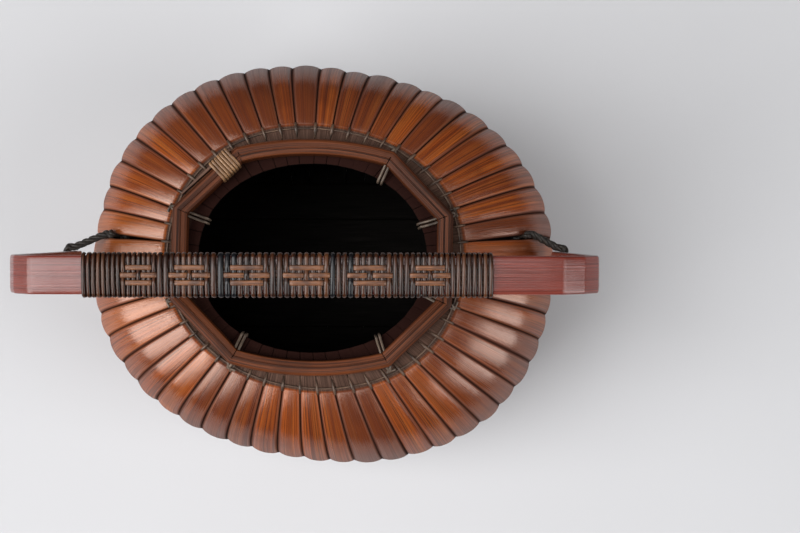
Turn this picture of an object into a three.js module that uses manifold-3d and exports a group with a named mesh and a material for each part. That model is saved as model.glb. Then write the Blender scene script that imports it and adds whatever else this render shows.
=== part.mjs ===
// A melon-shaped flower basket of split bamboo with a wound bail handle.
// Millimetres, +Z up, origin on the ground under the middle of the body.
// Thirteen floor strips cross under the body. Each end of a strip is split into two ribs,
// which bend round the belly and over the shoulder to the mouth.

import Module from 'manifold-3d';
import * as THREE from 'three';
import { mergeVertices } from 'three/addons/utils/BufferGeometryUtils.js';

const wasm = await Module();
wasm.setup();

// Clearance between pieces that touch
const CLEARANCE = 0.3;

// Floor strips: five run along X over eight that run along Y
const LONG_STRIPS = 5;
const CROSS_STRIPS = 8;
const STRIP_PITCH = 25.4;
const STRIP_THICKNESS = 2.0;

// Ribs: the gap between neighbours, the wall at the belly and the crown as a share of the width
const RIB_GAP = 0.5;
const RIB_THICKNESS = 2.6;
const RIB_CROWN = 0.13;
const RIB_LOWER_STEPS = 4;
const RIB_UPPER_STEPS = 6;
const CROWN_STEPS = 4;

// Belly, where the body is widest: a rounded oval, turned and shifted a little against the handle
const BELLY_HALF_X = 137.8;
const BELLY_HALF_Y = 117.7;
const BELLY_POWER = 2.27;
const BELLY_TURN = -9;
const BELLY_SHIFT_X = 3.1;
const BELLY_Z = 90;

// Shoulder: 2 bends as an ellipse does from the belly to the mouth, and more is flatter on top
const SHOULDER_POWER = 3;

// Mouth, where the ribs are cut off
const MOUTH_HALF_X = 64;
const MOUTH_HALF_Y = 53;
const MOUTH_POWER = 2.1;
const MOUTH_SHIFT_X = -2;
const MOUTH_Z = 167;

// Neck hoop under the ribs and binding over them, at this upper rib step
const NECK_STEP = 4.75;
const NECK_HOOP_RADIUS = 2.0;
const NECK_BINDING_RADIUS = 0.8;

// Rim frame: eight-sided, with two bowed long sides
const RIM_LONG_HALF = 42;
const RIM_LONG_Y = 56;
const RIM_END_X = 73.5;
const RIM_END_HALF = 24;
const RIM_BOW = 5.5;
const RIM_BOW_STEPS = 4;
const RIM_WIDTH = 8.5;
const RIM_HEIGHT = 8;
const RIM_CHAMFER = 1;
const RIM_TURN = -1.3;

// Lap at one corner of the rim: the thin end strip and the lashing over it
const LAP_THICKNESS = 2;
const LAP_LENGTH = 36;
const LAP_INSET = 2.1;
const LASHING_TURNS = 7;
const LASHING_PITCH = 1.9;
const LASHING_RADIUS = 0.65;

// Corner ties: two strands of rattan through a slot in the frame and round the rib ends
const TIE_RADIUS = 0.8;
const TIE_STRAND_PITCH = 2.8;
const TIE_TUCK = 4;
const TIE_STUB = 2.5;

// Handle: a flat strip bent into an arch, tied to the body at the pivot
const PIVOT_Y = -4.5;
const PIVOT_Z = 153;
const HANDLE_LEAN = 5;
const HANDLE_WIDTH = 18;
const HANDLE_THICKNESS = 4.5;
const HANDLE_CHAMFER = 0.8;
const HANDLE_TOP_Z = 278;
const HANDLE_CORNER_RADIUS = 18;
const HANDLE_CORNER_STEPS = 6;
const LEG_CLEARANCE = 2.7;
const LEG_CLEAR_STEP = 1.93;
const LEG_FOOT = 6;

// Rattan winding on the handle and the strips inlaid under it
const WINDING_LEFT = -102;
const WINDING_RIGHT = 87;
const WINDING_LOOPS = 24;
const WINDING_RADIUS = 0.8;
const INLAY_COUNT = 3;
const INLAY_PITCH = 3.5;
const INLAY_WIDTH = 2.8;
const INLAY_THICKNESS = 0.8;

// Tie cords: round each handle leg, along the shoulder and in between two ribs
const CORD_RADIUS = 2.3;
const CORD_SLIT = 2.4;
const CORD_SLIT_REACH = 0.25;
const CORD_KNOT_RADIUS = 3;
const CORD_ENTRY_STEP = 3;
const CORD_REST_STEP = 2.7;
const CORD_SIDES = 7;
const CORD_SPAN_STEPS = 2;

// Values that follow from the sizes above
const RIB_COUNT = 4 * (LONG_STRIPS + CROSS_STRIPS);
const HALF_TURN_RIBS = RIB_COUNT / 2;
const FLOOR_HALF_X = CROSS_STRIPS * STRIP_PITCH / 2;
const FLOOR_HALF_Y = LONG_STRIPS * STRIP_PITCH / 2;
const CROSS_BASE_Z = 0;
const LONG_BASE_Z = STRIP_THICKNESS + CLEARANCE;
const CORD_ENTRY = 1 + CORD_ENTRY_STEP / RIB_UPPER_STEPS;
const CORD_REST = 1 + CORD_REST_STEP / RIB_UPPER_STEPS;
const LEG_CLEAR = 1 + LEG_CLEAR_STEP / RIB_UPPER_STEPS;
const NECK = 1 + NECK_STEP / RIB_UPPER_STEPS;
const OVAL_SAMPLES = 720;
const HALVINGS = 40;
const WELD = 1e-4;
const ASKEW = new THREE.Vector3(0.36, 0.48, 0.8);
const TUBE_SIDES = 6;
const THIN_TUBE_SIDES = 5;

const bamboo = new THREE.MeshStandardMaterial({ color: 0x8a4426, roughness: 0.4, metalness: 0 });
const darkBamboo = new THREE.MeshStandardMaterial({ color: 0x6b3526, roughness: 0.45, metalness: 0 });
const handleBamboo = new THREE.MeshStandardMaterial({ color: 0x7c3a33, roughness: 0.35, metalness: 0 });
const paleRattan = new THREE.MeshStandardMaterial({ color: 0xb79470, roughness: 0.6, metalness: 0 });
const darkRattan = new THREE.MeshStandardMaterial({ color: 0x4a3428, roughness: 0.5, metalness: 0 });
const inlayRattan = new THREE.MeshStandardMaterial({ color: 0x97603d, roughness: 0.5, metalness: 0 });
const blackCord = new THREE.MeshStandardMaterial({ color: 0x1e1713, roughness: 0.85, metalness: 0 });

const basket = new THREE.Group();
const handle = new THREE.Group();

function addPiece(group, name, geometry, material) {
  const mesh = new THREE.Mesh(geometry, material.clone());
  mesh.name = name;
  group.add(mesh);
  return mesh;
}

// Triangles of a skin over a row of rings, each with the same number of points.
// leaveOut(segment, side) names side walls that are open because another skin meets them there.
function skin(rings, { closed = false, leaveOut = () => false } = {}) {
  const triangles = [];
  const sides = rings[0].length;
  const segments = closed ? rings.length : rings.length - 1;
  for (let segment = 0; segment < segments; segment += 1) {
    const ring = rings[segment];
    const next = rings[(segment + 1) % rings.length];
    for (let side = 0; side < sides; side += 1) {
      const beside = (side + 1) % sides;
      if (!leaveOut(segment, side)) {
        triangles.push(ring[side], ring[beside], next[beside]);
        triangles.push(ring[side], next[beside], next[side]);
      }
    }
  }
  if (!closed) {
    const last = rings[rings.length - 1];
    for (let side = 1; side < sides - 1; side += 1) {
      triangles.push(rings[0][0], rings[0][side + 1], rings[0][side]);
      triangles.push(last[0], last[side], last[side + 1]);
    }
  }
  return triangles;
}

// A closed solid from a list of triangle corners, with its faces pointing out.
function solid(triangles) {
  let volume = 0;
  for (let index = 0; index < triangles.length; index += 3) {
    const cross = triangles[index + 1].clone().cross(triangles[index + 2]);
    volume += triangles[index].dot(cross);
  }
  const corners = volume < 0 ? triangles.toReversed() : triangles;
  const geometry = new THREE.BufferGeometry().setFromPoints(corners);
  return mergeVertices(geometry, WELD);
}

// A closed geometry as a solid that can be cut, and back again.
function toManifold(geometry) {
  const vertProperties = new Float32Array(geometry.attributes.position.array);
  const triVerts = new Uint32Array(geometry.index.array);
  return new wasm.Manifold(new wasm.Mesh({ numProp: 3, vertProperties, triVerts }));
}

function cut(geometry, tools) {
  const whole = toManifold(geometry);
  const left = tools.reduce((body, tool) => body.subtract(toManifold(tool)), whole);
  const { vertProperties, triVerts } = left.getMesh();
  const result = new THREE.BufferGeometry();
  result.setAttribute('position', new THREE.BufferAttribute(vertProperties, 3));
  result.setIndex(new THREE.BufferAttribute(triVerts, 1));
  return mergeVertices(result, WELD);
}

// A ring of points in the plane of two axes.
function ellipse(centre, axisA, axisB, radiusA, radiusB, sides) {
  return Array.from({ length: sides }, (_, side) => {
    const angle = 2 * Math.PI * side / sides;
    const point = centre.clone().addScaledVector(axisA, radiusA * Math.cos(angle));
    return point.addScaledVector(axisB, radiusB * Math.sin(angle));
  });
}

// Round rings along a route, carried from point to point without twisting.
function tubeRings(points, radius, sides) {
  let side = ASKEW.clone();
  return points.map((point, index) => {
    const before = points[Math.max(index - 1, 0)];
    const after = points[Math.min(index + 1, points.length - 1)];
    const tangent = after.clone().sub(before).normalize();
    side = side.clone().addScaledVector(tangent, -side.dot(tangent)).normalize();
    const up = tangent.clone().cross(side);
    return ellipse(point, side, up, radius, radius, sides);
  });
}

// An outline moved outwards by a distance, keeping its corners mitred.
function offsetOutline(outline, distance) {
  return outline.map((point, index) => {
    const before = outline[(index + outline.length - 1) % outline.length];
    const after = outline[(index + 1) % outline.length];
    const normalIn = new THREE.Vector2(point.y - before.y, before.x - point.x).normalize();
    const normalOut = new THREE.Vector2(after.y - point.y, point.x - after.x).normalize();
    const miter = normalIn.clone().add(normalOut).normalize();
    return point.clone().addScaledVector(miter, distance / miter.dot(normalOut));
  });
}

// A winding: one tube that climbs evenly along an axis round a flat outline.
// place(along, point) turns a distance and an outline point into space.
function windingPoints(outline, loops, pitch, start, place) {
  const count = outline.length * loops;
  return Array.from({ length: count + 1 }, (_, index) => {
    const along = start + pitch * index / outline.length;
    return place(along, outline[index % outline.length]);
  });
}

// The least gap between turns of a tube, measured on its route's points.
function leastSelfGap(points, loopSteps, radius) {
  let least = Infinity;
  for (let index = 0; index < points.length; index += 1) {
    for (let other = index + Math.ceil(loopSteps / 2); other < points.length; other += 1) {
      least = Math.min(least, points[index].distanceTo(points[other]));
    }
  }
  return least - 2 * radius;
}

// An oval in plan: a superellipse, turned and shifted, with its length measured from the +X side.
function makeOval(halfX, halfY, power, turn, shiftX) {
  const points = [];
  const lengths = [0];
  for (let sample = 0; sample <= OVAL_SAMPLES; sample += 1) {
    const angle = 2 * Math.PI * sample / OVAL_SAMPLES;
    const local = angle - THREE.MathUtils.degToRad(turn);
    const across = Math.abs(Math.cos(local) / halfX) ** power;
    const along = Math.abs(Math.sin(local) / halfY) ** power;
    const radius = (across + along) ** (-1 / power);
    points.push(new THREE.Vector2(shiftX + radius * Math.cos(angle), radius * Math.sin(angle)));
    if (sample > 0) {
      lengths.push(lengths[sample - 1] + points[sample].distanceTo(points[sample - 1]));
    }
  }
  return { points, lengths };
}

// The point at a share of an oval's length.
function ovalPoint(oval, share) {
  const whole = oval.lengths[OVAL_SAMPLES];
  const target = (share - Math.floor(share)) * whole;
  const upper = Math.max(1, oval.lengths.findIndex((length) => length >= target));
  const span = oval.lengths[upper] - oval.lengths[upper - 1];
  const part = (target - oval.lengths[upper - 1]) / span;
  return oval.points[upper - 1].clone().lerp(oval.points[upper], part);
}

// The point at a share of the floor's rectangular edge, from the middle of its +X side.
function floorEdgePoint(share) {
  const corners = [
    new THREE.Vector2(FLOOR_HALF_X, 0),
    new THREE.Vector2(FLOOR_HALF_X, FLOOR_HALF_Y),
    new THREE.Vector2(-FLOOR_HALF_X, FLOOR_HALF_Y),
    new THREE.Vector2(-FLOOR_HALF_X, -FLOOR_HALF_Y),
    new THREE.Vector2(FLOOR_HALF_X, -FLOOR_HALF_Y),
    new THREE.Vector2(FLOOR_HALF_X, 0),
  ];
  let left = (share - Math.floor(share)) * 4 * (FLOOR_HALF_X + FLOOR_HALF_Y);
  for (let index = 1; index < corners.length; index += 1) {
    const length = corners[index].distanceTo(corners[index - 1]);
    if (left <= length) {
      return corners[index - 1].clone().lerp(corners[index], left / length);
    }
    left -= length;
  }
  return corners[0].clone();
}

const bellyOval = makeOval(BELLY_HALF_X, BELLY_HALF_Y, BELLY_POWER, BELLY_TURN, BELLY_SHIFT_X);
const mouthOval = makeOval(MOUTH_HALF_X, MOUTH_HALF_Y, MOUTH_POWER, 0, MOUTH_SHIFT_X);

// The body's outer surface in the valleys between ribs. share runs round the body from +X,
// height runs from 0 at the floor's edge over 1 at the belly to 2 at the mouth.
function bodyPoint(share, height, baseZ) {
  const belly = ovalPoint(bellyOval, share);
  if (height <= 1) {
    const angle = height * Math.PI / 2;
    const plan = floorEdgePoint(share).lerp(belly, Math.sin(angle));
    return new THREE.Vector3(plan.x, plan.y, baseZ + (BELLY_Z - baseZ) * (1 - Math.cos(angle)));
  }
  const outwards = Math.max(0, Math.cos((height - 1) * Math.PI / 2));
  const plan = belly.lerp(ovalPoint(mouthOval, share), 1 - outwards);
  const rise = (1 - outwards ** SHOULDER_POWER) ** (1 / SHOULDER_POWER);
  return new THREE.Vector3(plan.x, plan.y, BELLY_Z + (MOUTH_Z - BELLY_Z) * rise);
}

function bodyNormal(share, height) {
  const shareStep = 0.05 / RIB_COUNT;
  const heightStep = 0.01;
  const upper = Math.min(2, height + heightStep);
  const lower = Math.max(0, height - heightStep);
  const around = bodyPoint(share + shareStep, height, 0).sub(bodyPoint(share - shareStep, height, 0));
  const along = bodyPoint(share, upper, 0).sub(bodyPoint(share, lower, 0));
  return around.cross(along).normalize();
}

// Cords pass in beside the two middle ribs of each end.
function isCordBoundary(boundary) {
  const beside = boundary % HALF_TURN_RIBS;
  return beside === 1 || beside === HALF_TURN_RIBS - 1;
}

// The gap at a boundary between ribs. A strip is whole on the floor, and a cord spreads two ribs.
function gapAt(boundary, height, splitsStrip) {
  if (splitsStrip && height === 0) {
    return 0;
  }
  const distance = Math.abs(height - CORD_ENTRY) / CORD_SLIT_REACH;
  const spread = isCordBoundary(boundary) ? Math.max(0, 1 - distance) : 0;
  return RIB_GAP + (CORD_SLIT - RIB_GAP) * spread;
}

function ribThickness(height) {
  const growth = Math.min(1, height);
  return STRIP_THICKNESS + (RIB_THICKNESS - STRIP_THICKNESS) * growth;
}

function ribCrown(width, height) {
  const growth = Math.sin(Math.min(1, height) * Math.PI / 2);
  return RIB_CROWN * width * growth;
}

// One section through a rib: the crowned outer skin, then the two inner corners.
function ribSection(rib, height, baseZ, splitSide) {
  const shares = [rib / RIB_COUNT, (rib + 1) / RIB_COUNT];
  const [left, right] = shares.map((share) => bodyPoint(share, height, baseZ));
  const [leftNormal, rightNormal] = shares.map((share) => bodyNormal(share, height));
  const across = right.clone().sub(left).normalize();
  left.addScaledVector(across, gapAt(rib, height, splitSide === 'left') / 2);
  right.addScaledVector(across, -gapAt(rib + 1, height, splitSide === 'right') / 2);
  const middleNormal = leftNormal.clone().add(rightNormal).normalize();
  const crown = ribCrown(left.distanceTo(right), height);
  const outer = Array.from({ length: CROWN_STEPS + 1 }, (_, step) => {
    const part = step / CROWN_STEPS;
    return left.clone().lerp(right, part).addScaledVector(middleNormal, crown * 4 * part * (1 - part));
  });
  const thickness = ribThickness(height);
  const innerLeft = left.clone().addScaledVector(leftNormal, -thickness);
  const innerRight = right.clone().addScaledVector(rightNormal, -thickness);
  return { outer, innerLeft, innerRight };
}

function ribHeights() {
  const lower = Array.from({ length: RIB_LOWER_STEPS }, (_, step) => step / RIB_LOWER_STEPS);
  const upper = Array.from({ length: RIB_UPPER_STEPS + 1 }, (_, step) => 1 + step / RIB_UPPER_STEPS);
  return [...lower, ...upper];
}

// Half of a strip: from the mouth down one rib, under the floor and up the rib opposite.
function halfStripRings(firstRib, lastRib, baseZ, firstSplit, lastSplit) {
  const heights = ribHeights();
  const down = heights.toReversed().map((height) => {
    const section = ribSection(firstRib, height, baseZ, firstSplit);
    return [...section.outer, section.innerRight, section.innerLeft];
  });
  const up = heights.map((height) => {
    const section = ribSection(lastRib, height, baseZ, lastSplit);
    return [...section.outer.toReversed(), section.innerLeft, section.innerRight];
  });
  return [...down, ...up];
}

// A whole strip: two halves that are one piece on the floor and split beyond its edge.
function makeStrip(firstRib, lastRib, baseZ) {
  const floorSegment = RIB_LOWER_STEPS + RIB_UPPER_STEPS;
  const rightWall = CROWN_STEPS;
  const leftWall = CROWN_STEPS + 2;
  const near = halfStripRings(firstRib, lastRib + 1, baseZ, 'right', 'left');
  const far = halfStripRings(firstRib + 1, lastRib, baseZ, 'left', 'right');
  const nearSkin = skin(near, {
    leaveOut: (segment, side) => segment === floorSegment && side === rightWall,
  });
  const farSkin = skin(far, {
    leaveOut: (segment, side) => segment === floorSegment && side === leftWall,
  });
  return solid([...nearSkin, ...farSkin]);
}

function addStrips() {
  for (let index = 0; index < LONG_STRIPS; index += 1) {
    const firstRib = (RIB_COUNT - LONG_STRIPS + 2 * index) % RIB_COUNT;
    const lastRib = HALF_TURN_RIBS + LONG_STRIPS - 2 - 2 * index;
    addPiece(basket, `long_strip_${index + 1}`, makeStrip(firstRib, lastRib, LONG_BASE_Z), bamboo);
  }
  for (let index = 0; index < CROSS_STRIPS; index += 1) {
    const firstRib = LONG_STRIPS + 2 * index;
    const lastRib = RIB_COUNT - LONG_STRIPS - 2 - 2 * index;
    addPiece(basket, `cross_strip_${index + 1}`, makeStrip(firstRib, lastRib, CROSS_BASE_Z), bamboo);
  }
}

// A hoop round the neck, at a distance from the valley surface.
function neckRing(distance, radius, sides) {
  const rings = Array.from({ length: RIB_COUNT }, (_, boundary) => {
    const share = boundary / RIB_COUNT;
    const normal = bodyNormal(share, NECK);
    const centre = bodyPoint(share, NECK, 0).addScaledVector(normal, distance);
    const before = bodyPoint((boundary - 1) / RIB_COUNT, NECK, 0);
    const after = bodyPoint((boundary + 1) / RIB_COUNT, NECK, 0);
    const tangent = after.sub(before).normalize();
    return ellipse(centre, normal, tangent.cross(normal).normalize(), radius, radius, sides);
  });
  return solid(skin(rings, { closed: true }));
}

function neckCrown() {
  const widths = Array.from({ length: RIB_COUNT }, (_, rib) => {
    const left = bodyPoint(rib / RIB_COUNT, NECK, 0);
    return left.distanceTo(bodyPoint((rib + 1) / RIB_COUNT, NECK, 0));
  });
  return RIB_CROWN * Math.max(...widths);
}

function addNeck() {
  const under = RIB_THICKNESS + 2 * CLEARANCE + NECK_HOOP_RADIUS;
  addPiece(basket, 'neck_hoop', neckRing(-under, NECK_HOOP_RADIUS, TUBE_SIDES), darkBamboo);
  const over = neckCrown() + CLEARANCE + NECK_BINDING_RADIUS;
  addPiece(basket, 'neck_binding', neckRing(over, NECK_BINDING_RADIUS, THIN_TUBE_SIDES), paleRattan);
}

// The rim frame rests on the crowns of the ribs at the mouth.
const rimBottomZ = MOUTH_Z + neckCrown() + CLEARANCE;
const rimTopZ = rimBottomZ + RIM_HEIGHT;
const tieZ = rimBottomZ + RIM_HEIGHT / 2;
const lapBottomZ = rimBottomZ + 2 * LASHING_RADIUS + CLEARANCE;
const lashingLength = (LASHING_TURNS + 1) * LASHING_PITCH;

function rimPlan(x, y) {
  const centre = new THREE.Vector2(0, 0);
  const point = new THREE.Vector2(x, y).rotateAround(centre, THREE.MathUtils.degToRad(RIM_TURN));
  point.x += MOUTH_SHIFT_X;
  return point;
}

// The eight corners of the rim's middle line, anticlockwise from the one beside the lap.
function rimCorners() {
  return [
    rimPlan(-RIM_LONG_HALF, RIM_LONG_Y),
    rimPlan(-RIM_END_X, RIM_END_HALF),
    rimPlan(-RIM_END_X, -RIM_END_HALF),
    rimPlan(-RIM_LONG_HALF, -RIM_LONG_Y),
    rimPlan(RIM_LONG_HALF, -RIM_LONG_Y),
    rimPlan(RIM_END_X, -RIM_END_HALF),
    rimPlan(RIM_END_X, RIM_END_HALF),
    rimPlan(RIM_LONG_HALF, RIM_LONG_Y),
  ];
}

// Points between two corners that bow outwards.
function bowedPoints(from, to) {
  const along = to.clone().sub(from);
  const outward = new THREE.Vector2(along.y, -along.x).normalize();
  return Array.from({ length: RIM_BOW_STEPS - 1 }, (_, index) => {
    const part = (index + 1) / RIM_BOW_STEPS;
    const bow = RIM_BOW * 4 * part * (1 - part);
    return from.clone().lerp(to, part).addScaledVector(outward, bow);
  });
}

// The side of the rim that carries the lap: its start, its direction and its outward normal.
function lapSide() {
  const [start, end] = rimCorners();
  const along = end.clone().sub(start).normalize();
  const outward = new THREE.Vector2(along.y, -along.x);
  return { start, along, outward };
}

// The rim's middle line as stations with the height of its underside, which the lashing passes under.
function rimStations() {
  const corners = rimCorners();
  const { start, along } = lapSide();
  const stations = [];
  const addStation = (point, bottom) => stations.push({ point, bottom });
  addStation(corners[0], rimBottomZ);
  const reliefStart = LAP_INSET - LASHING_PITCH;
  const reliefEnd = LAP_INSET + lashingLength + LASHING_PITCH;
  const step = LASHING_PITCH / 4;
  addStation(start.clone().addScaledVector(along, reliefStart), rimBottomZ);
  addStation(start.clone().addScaledVector(along, reliefStart + step), lapBottomZ);
  addStation(start.clone().addScaledVector(along, reliefEnd - step), lapBottomZ);
  addStation(start.clone().addScaledVector(along, reliefEnd), rimBottomZ);
  corners.slice(1, 4).forEach((corner) => addStation(corner, rimBottomZ));
  bowedPoints(corners[3], corners[4]).forEach((point) => addStation(point, rimBottomZ));
  corners.slice(4).forEach((corner) => addStation(corner, rimBottomZ));
  bowedPoints(corners[7], corners[0]).forEach((point) => addStation(point, rimBottomZ));
  return stations;
}

// Where the ties pass through the frame: each corner with its outward direction and the frame's reach.
function tieCorners() {
  const corners = rimCorners();
  const outer = offsetOutline(corners, RIM_WIDTH / 2);
  return corners.slice(1).map((corner, index) => {
    const outward = outer[index + 1].clone().sub(corner);
    const bend = Math.tan(Math.acos(RIM_WIDTH / 2 / outward.length()));
    const reach = outward.length();
    outward.normalize();
    const sideways = new THREE.Vector2(-outward.y, outward.x);
    const innerReach = reach + bend * (TIE_STRAND_PITCH / 2 + TIE_RADIUS);
    return { corner, outward, sideways, reach, innerReach };
  });
}

function tieSlot({ corner, outward, innerReach }) {
  const width = TIE_STRAND_PITCH + 2 * TIE_RADIUS + 2 * CLEARANCE;
  const height = 2 * TIE_RADIUS + 2 * CLEARANCE;
  const box = new THREE.BoxGeometry(2 * innerReach + 2 * RIM_WIDTH, width, height);
  box.deleteAttribute('normal');
  box.deleteAttribute('uv');
  box.rotateZ(Math.atan2(outward.y, outward.x));
  box.translate(corner.x, corner.y, tieZ);
  return mergeVertices(box, WELD);
}

function addRimFrame() {
  const stations = rimStations();
  const line = stations.map((station) => station.point);
  const edge = (distance) => offsetOutline(line, distance);
  const outer = edge(RIM_WIDTH / 2);
  const outerTop = edge(RIM_WIDTH / 2 - RIM_CHAMFER);
  const innerTop = edge(RIM_CHAMFER - RIM_WIDTH / 2);
  const inner = edge(-RIM_WIDTH / 2);
  const at = (point, z) => new THREE.Vector3(point.x, point.y, z);
  const rings = stations.map((station, index) => [
    at(outer[index], station.bottom),
    at(outer[index], rimTopZ - RIM_CHAMFER),
    at(outerTop[index], rimTopZ),
    at(innerTop[index], rimTopZ),
    at(inner[index], rimTopZ - RIM_CHAMFER),
    at(inner[index], station.bottom),
  ]);
  const hoop = solid(skin(rings, { closed: true }));
  addPiece(basket, 'rim_frame', cut(hoop, tieCorners().map(tieSlot)), darkBamboo);
}

function addRimLap() {
  const { start, along, outward } = lapSide();
  const height = rimTopZ - RIM_CHAMFER - lapBottomZ;
  const middle = start.clone().addScaledVector(along, LAP_INSET + LAP_LENGTH / 2);
  middle.addScaledVector(outward, RIM_WIDTH / 2 + CLEARANCE + LAP_THICKNESS / 2);
  const box = new THREE.BoxGeometry(LAP_LENGTH, LAP_THICKNESS, height);
  const lap = addPiece(basket, 'rim_lap', box, darkBamboo);
  lap.position.set(middle.x, middle.y, lapBottomZ + height / 2);
  lap.rotation.z = Math.atan2(along.y, along.x);
}

// The lashing winds round the frame and the lap together.
function addRimLashing() {
  const { start, along, outward } = lapSide();
  const innerEdge = -RIM_WIDTH / 2;
  const outerEdge = RIM_WIDTH / 2 + CLEARANCE + LAP_THICKNESS;
  const section = [
    new THREE.Vector2(innerEdge, lapBottomZ),
    new THREE.Vector2(0, lapBottomZ),
    new THREE.Vector2(outerEdge, lapBottomZ),
    new THREE.Vector2(outerEdge, rimTopZ - RIM_CHAMFER),
    new THREE.Vector2(outerEdge - RIM_CHAMFER, rimTopZ),
    new THREE.Vector2(0, rimTopZ),
    new THREE.Vector2(innerEdge + RIM_CHAMFER, rimTopZ),
    new THREE.Vector2(innerEdge, rimTopZ - RIM_CHAMFER),
  ];
  const outline = offsetOutline(section, LASHING_RADIUS + CLEARANCE);
  const place = (distance, point) => {
    const plan = start.clone().addScaledVector(along, distance).addScaledVector(outward, point.x);
    return new THREE.Vector3(plan.x, plan.y, point.y);
  };
  const points = windingPoints(outline, LASHING_TURNS, LASHING_PITCH, LAP_INSET, place);
  console.log('rim lashing, least self gap', leastSelfGap(points, outline.length, LASHING_RADIUS));
  const rings = tubeRings(points, LASHING_RADIUS, TUBE_SIDES);
  addPiece(basket, 'rim_lashing', solid(skin(rings)), paleRattan);
}

// How far the mouth's edge lies from a point of the rim, looking inwards.
function distanceToMouth(point, inward) {
  const centre = new THREE.Vector2(MOUTH_SHIFT_X, 0);
  const measure = (distance) => {
    const probe = point.clone().addScaledVector(inward, distance).sub(centre);
    const across = Math.abs(probe.x / MOUTH_HALF_X) ** MOUTH_POWER;
    return across + Math.abs(probe.y / MOUTH_HALF_Y) ** MOUTH_POWER;
  };
  let near = 0;
  let far = point.distanceTo(centre);
  for (let halving = 0; halving < HALVINGS; halving += 1) {
    const middle = (near + far) / 2;
    if (measure(middle) > 1) {
      near = middle;
    } else {
      far = middle;
    }
  }
  return far;
}

// How steeply the shoulder falls outwards from the mouth, on the steeper side.
function shoulderSlope() {
  const quarterTurn = 0.25;
  const neck = bodyPoint(quarterTurn, NECK, 0);
  const mouth = bodyPoint(quarterTurn, 2, 0);
  return (mouth.z - neck.z) / mouth.distanceTo(neck);
}

// A tie: in through the frame's slot, down over the rib ends, round them, and back the same way.
function addCornerTies() {
  tieCorners().forEach(({ corner, outward, sideways, reach, innerReach }, index) => {
    const ribEnd = -distanceToMouth(corner, outward.clone().negate());
    const overRibs = MOUTH_Z + neckCrown() + CLEARANCE + TIE_RADIUS;
    const fall = shoulderSlope() * (TIE_TUCK + 2 * TIE_RADIUS);
    const underRibs = MOUTH_Z - RIB_THICKNESS - 2 * CLEARANCE - TIE_RADIUS - fall;
    const pastRibs = ribEnd - 2 * CLEARANCE - TIE_RADIUS;
    const strand = [
      [reach + TIE_STUB, tieZ],
      [-innerReach - CLEARANCE, tieZ],
      [ribEnd, overRibs],
      [pastRibs, overRibs - TIE_RADIUS],
      [pastRibs, underRibs + TIE_RADIUS],
      [ribEnd, underRibs],
      [ribEnd + TIE_TUCK, underRibs],
    ];
    const at = ([distance, z], shift) => {
      const plan = corner.clone().addScaledVector(outward, distance).addScaledVector(sideways, shift);
      return new THREE.Vector3(plan.x, plan.y, z);
    };
    const turn = at([ribEnd + TIE_TUCK + TIE_RADIUS, underRibs], 0);
    const near = strand.map((station) => at(station, -TIE_STRAND_PITCH / 2));
    const back = strand.toReversed().map((station) => at(station, TIE_STRAND_PITCH / 2));
    const rings = tubeRings([...near, turn, ...back], TIE_RADIUS, THIN_TUBE_SIDES);
    addPiece(basket, `corner_tie_${index + 1}`, solid(skin(rings)), paleRattan);
  });
}

// How far the crowns of the ribs reach along +X on the shoulder, where the legs' feet swing past.
function shoulderReach() {
  const reaches = Array.from({ length: RIB_COUNT }, (_, rib) => {
    const { outer } = ribSection(rib, LEG_CLEAR, CROSS_BASE_Z, 'none');
    return Math.max(...outer.map((point) => point.x));
  });
  return Math.max(...reaches);
}

// The handle is built upright about its pivot and leans as a whole.
const legX = shoulderReach() + LEG_CLEARANCE + HANDLE_THICKNESS / 2;
const barZ = HANDLE_TOP_Z - PIVOT_Z - HANDLE_THICKNESS / 2;

// A route with its corners rounded: the points of each round, in order.
function roundedRoute(points, radii, steps) {
  const route = [points[0]];
  for (let index = 1; index < points.length - 1; index += 1) {
    const back = points[index - 1].clone().sub(points[index]).normalize();
    const ahead = points[index + 1].clone().sub(points[index]).normalize();
    const half = Math.acos(back.dot(ahead)) / 2;
    const cut = radii[index - 1] / Math.tan(half);
    const from = points[index].clone().addScaledVector(back, cut);
    const bisector = back.clone().add(ahead).normalize();
    const centre = points[index].clone().addScaledVector(bisector, radii[index - 1] / Math.sin(half));
    const turn = Math.sign(back.cross(ahead)) * (Math.PI - 2 * half);
    for (let step = 0; step <= steps[index - 1]; step += 1) {
      route.push(from.clone().rotateAround(centre, -turn * step / steps[index - 1]));
    }
  }
  route.push(points[points.length - 1]);
  return route;
}

function handleRoute() {
  const half = [new THREE.Vector2(-legX, -LEG_FOOT), new THREE.Vector2(-legX, barZ)];
  const mirrored = half.toReversed().map((point) => new THREE.Vector2(-point.x, point.y));
  const radii = [HANDLE_CORNER_RADIUS, HANDLE_CORNER_RADIUS];
  const steps = [HANDLE_CORNER_STEPS, HANDLE_CORNER_STEPS];
  return roundedRoute([...half, ...mirrored], radii, steps);
}

function handleSection() {
  const halfWidth = HANDLE_WIDTH / 2;
  const halfThickness = HANDLE_THICKNESS / 2;
  const quarter = [
    new THREE.Vector2(halfWidth, halfThickness - HANDLE_CHAMFER),
    new THREE.Vector2(halfWidth - HANDLE_CHAMFER, halfThickness),
  ];
  const left = quarter.toReversed().map((point) => new THREE.Vector2(-point.x, point.y));
  const top = [...quarter, ...left];
  const bottom = top.map((point) => point.clone().negate());
  return [...top, ...bottom];
}

function addHandleStrip() {
  const route = handleRoute();
  const section = handleSection();
  const rings = route.map((point, index) => {
    const before = route[Math.max(index - 1, 0)];
    const after = route[Math.min(index + 1, route.length - 1)];
    const tangent = after.clone().sub(before).normalize();
    return section.map((corner) => new THREE.Vector3(
      point.x - tangent.y * corner.y,
      corner.x,
      point.y + tangent.x * corner.y,
    ));
  });
  addPiece(handle, 'handle_strip', solid(skin(rings)), handleBamboo);
}

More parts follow.
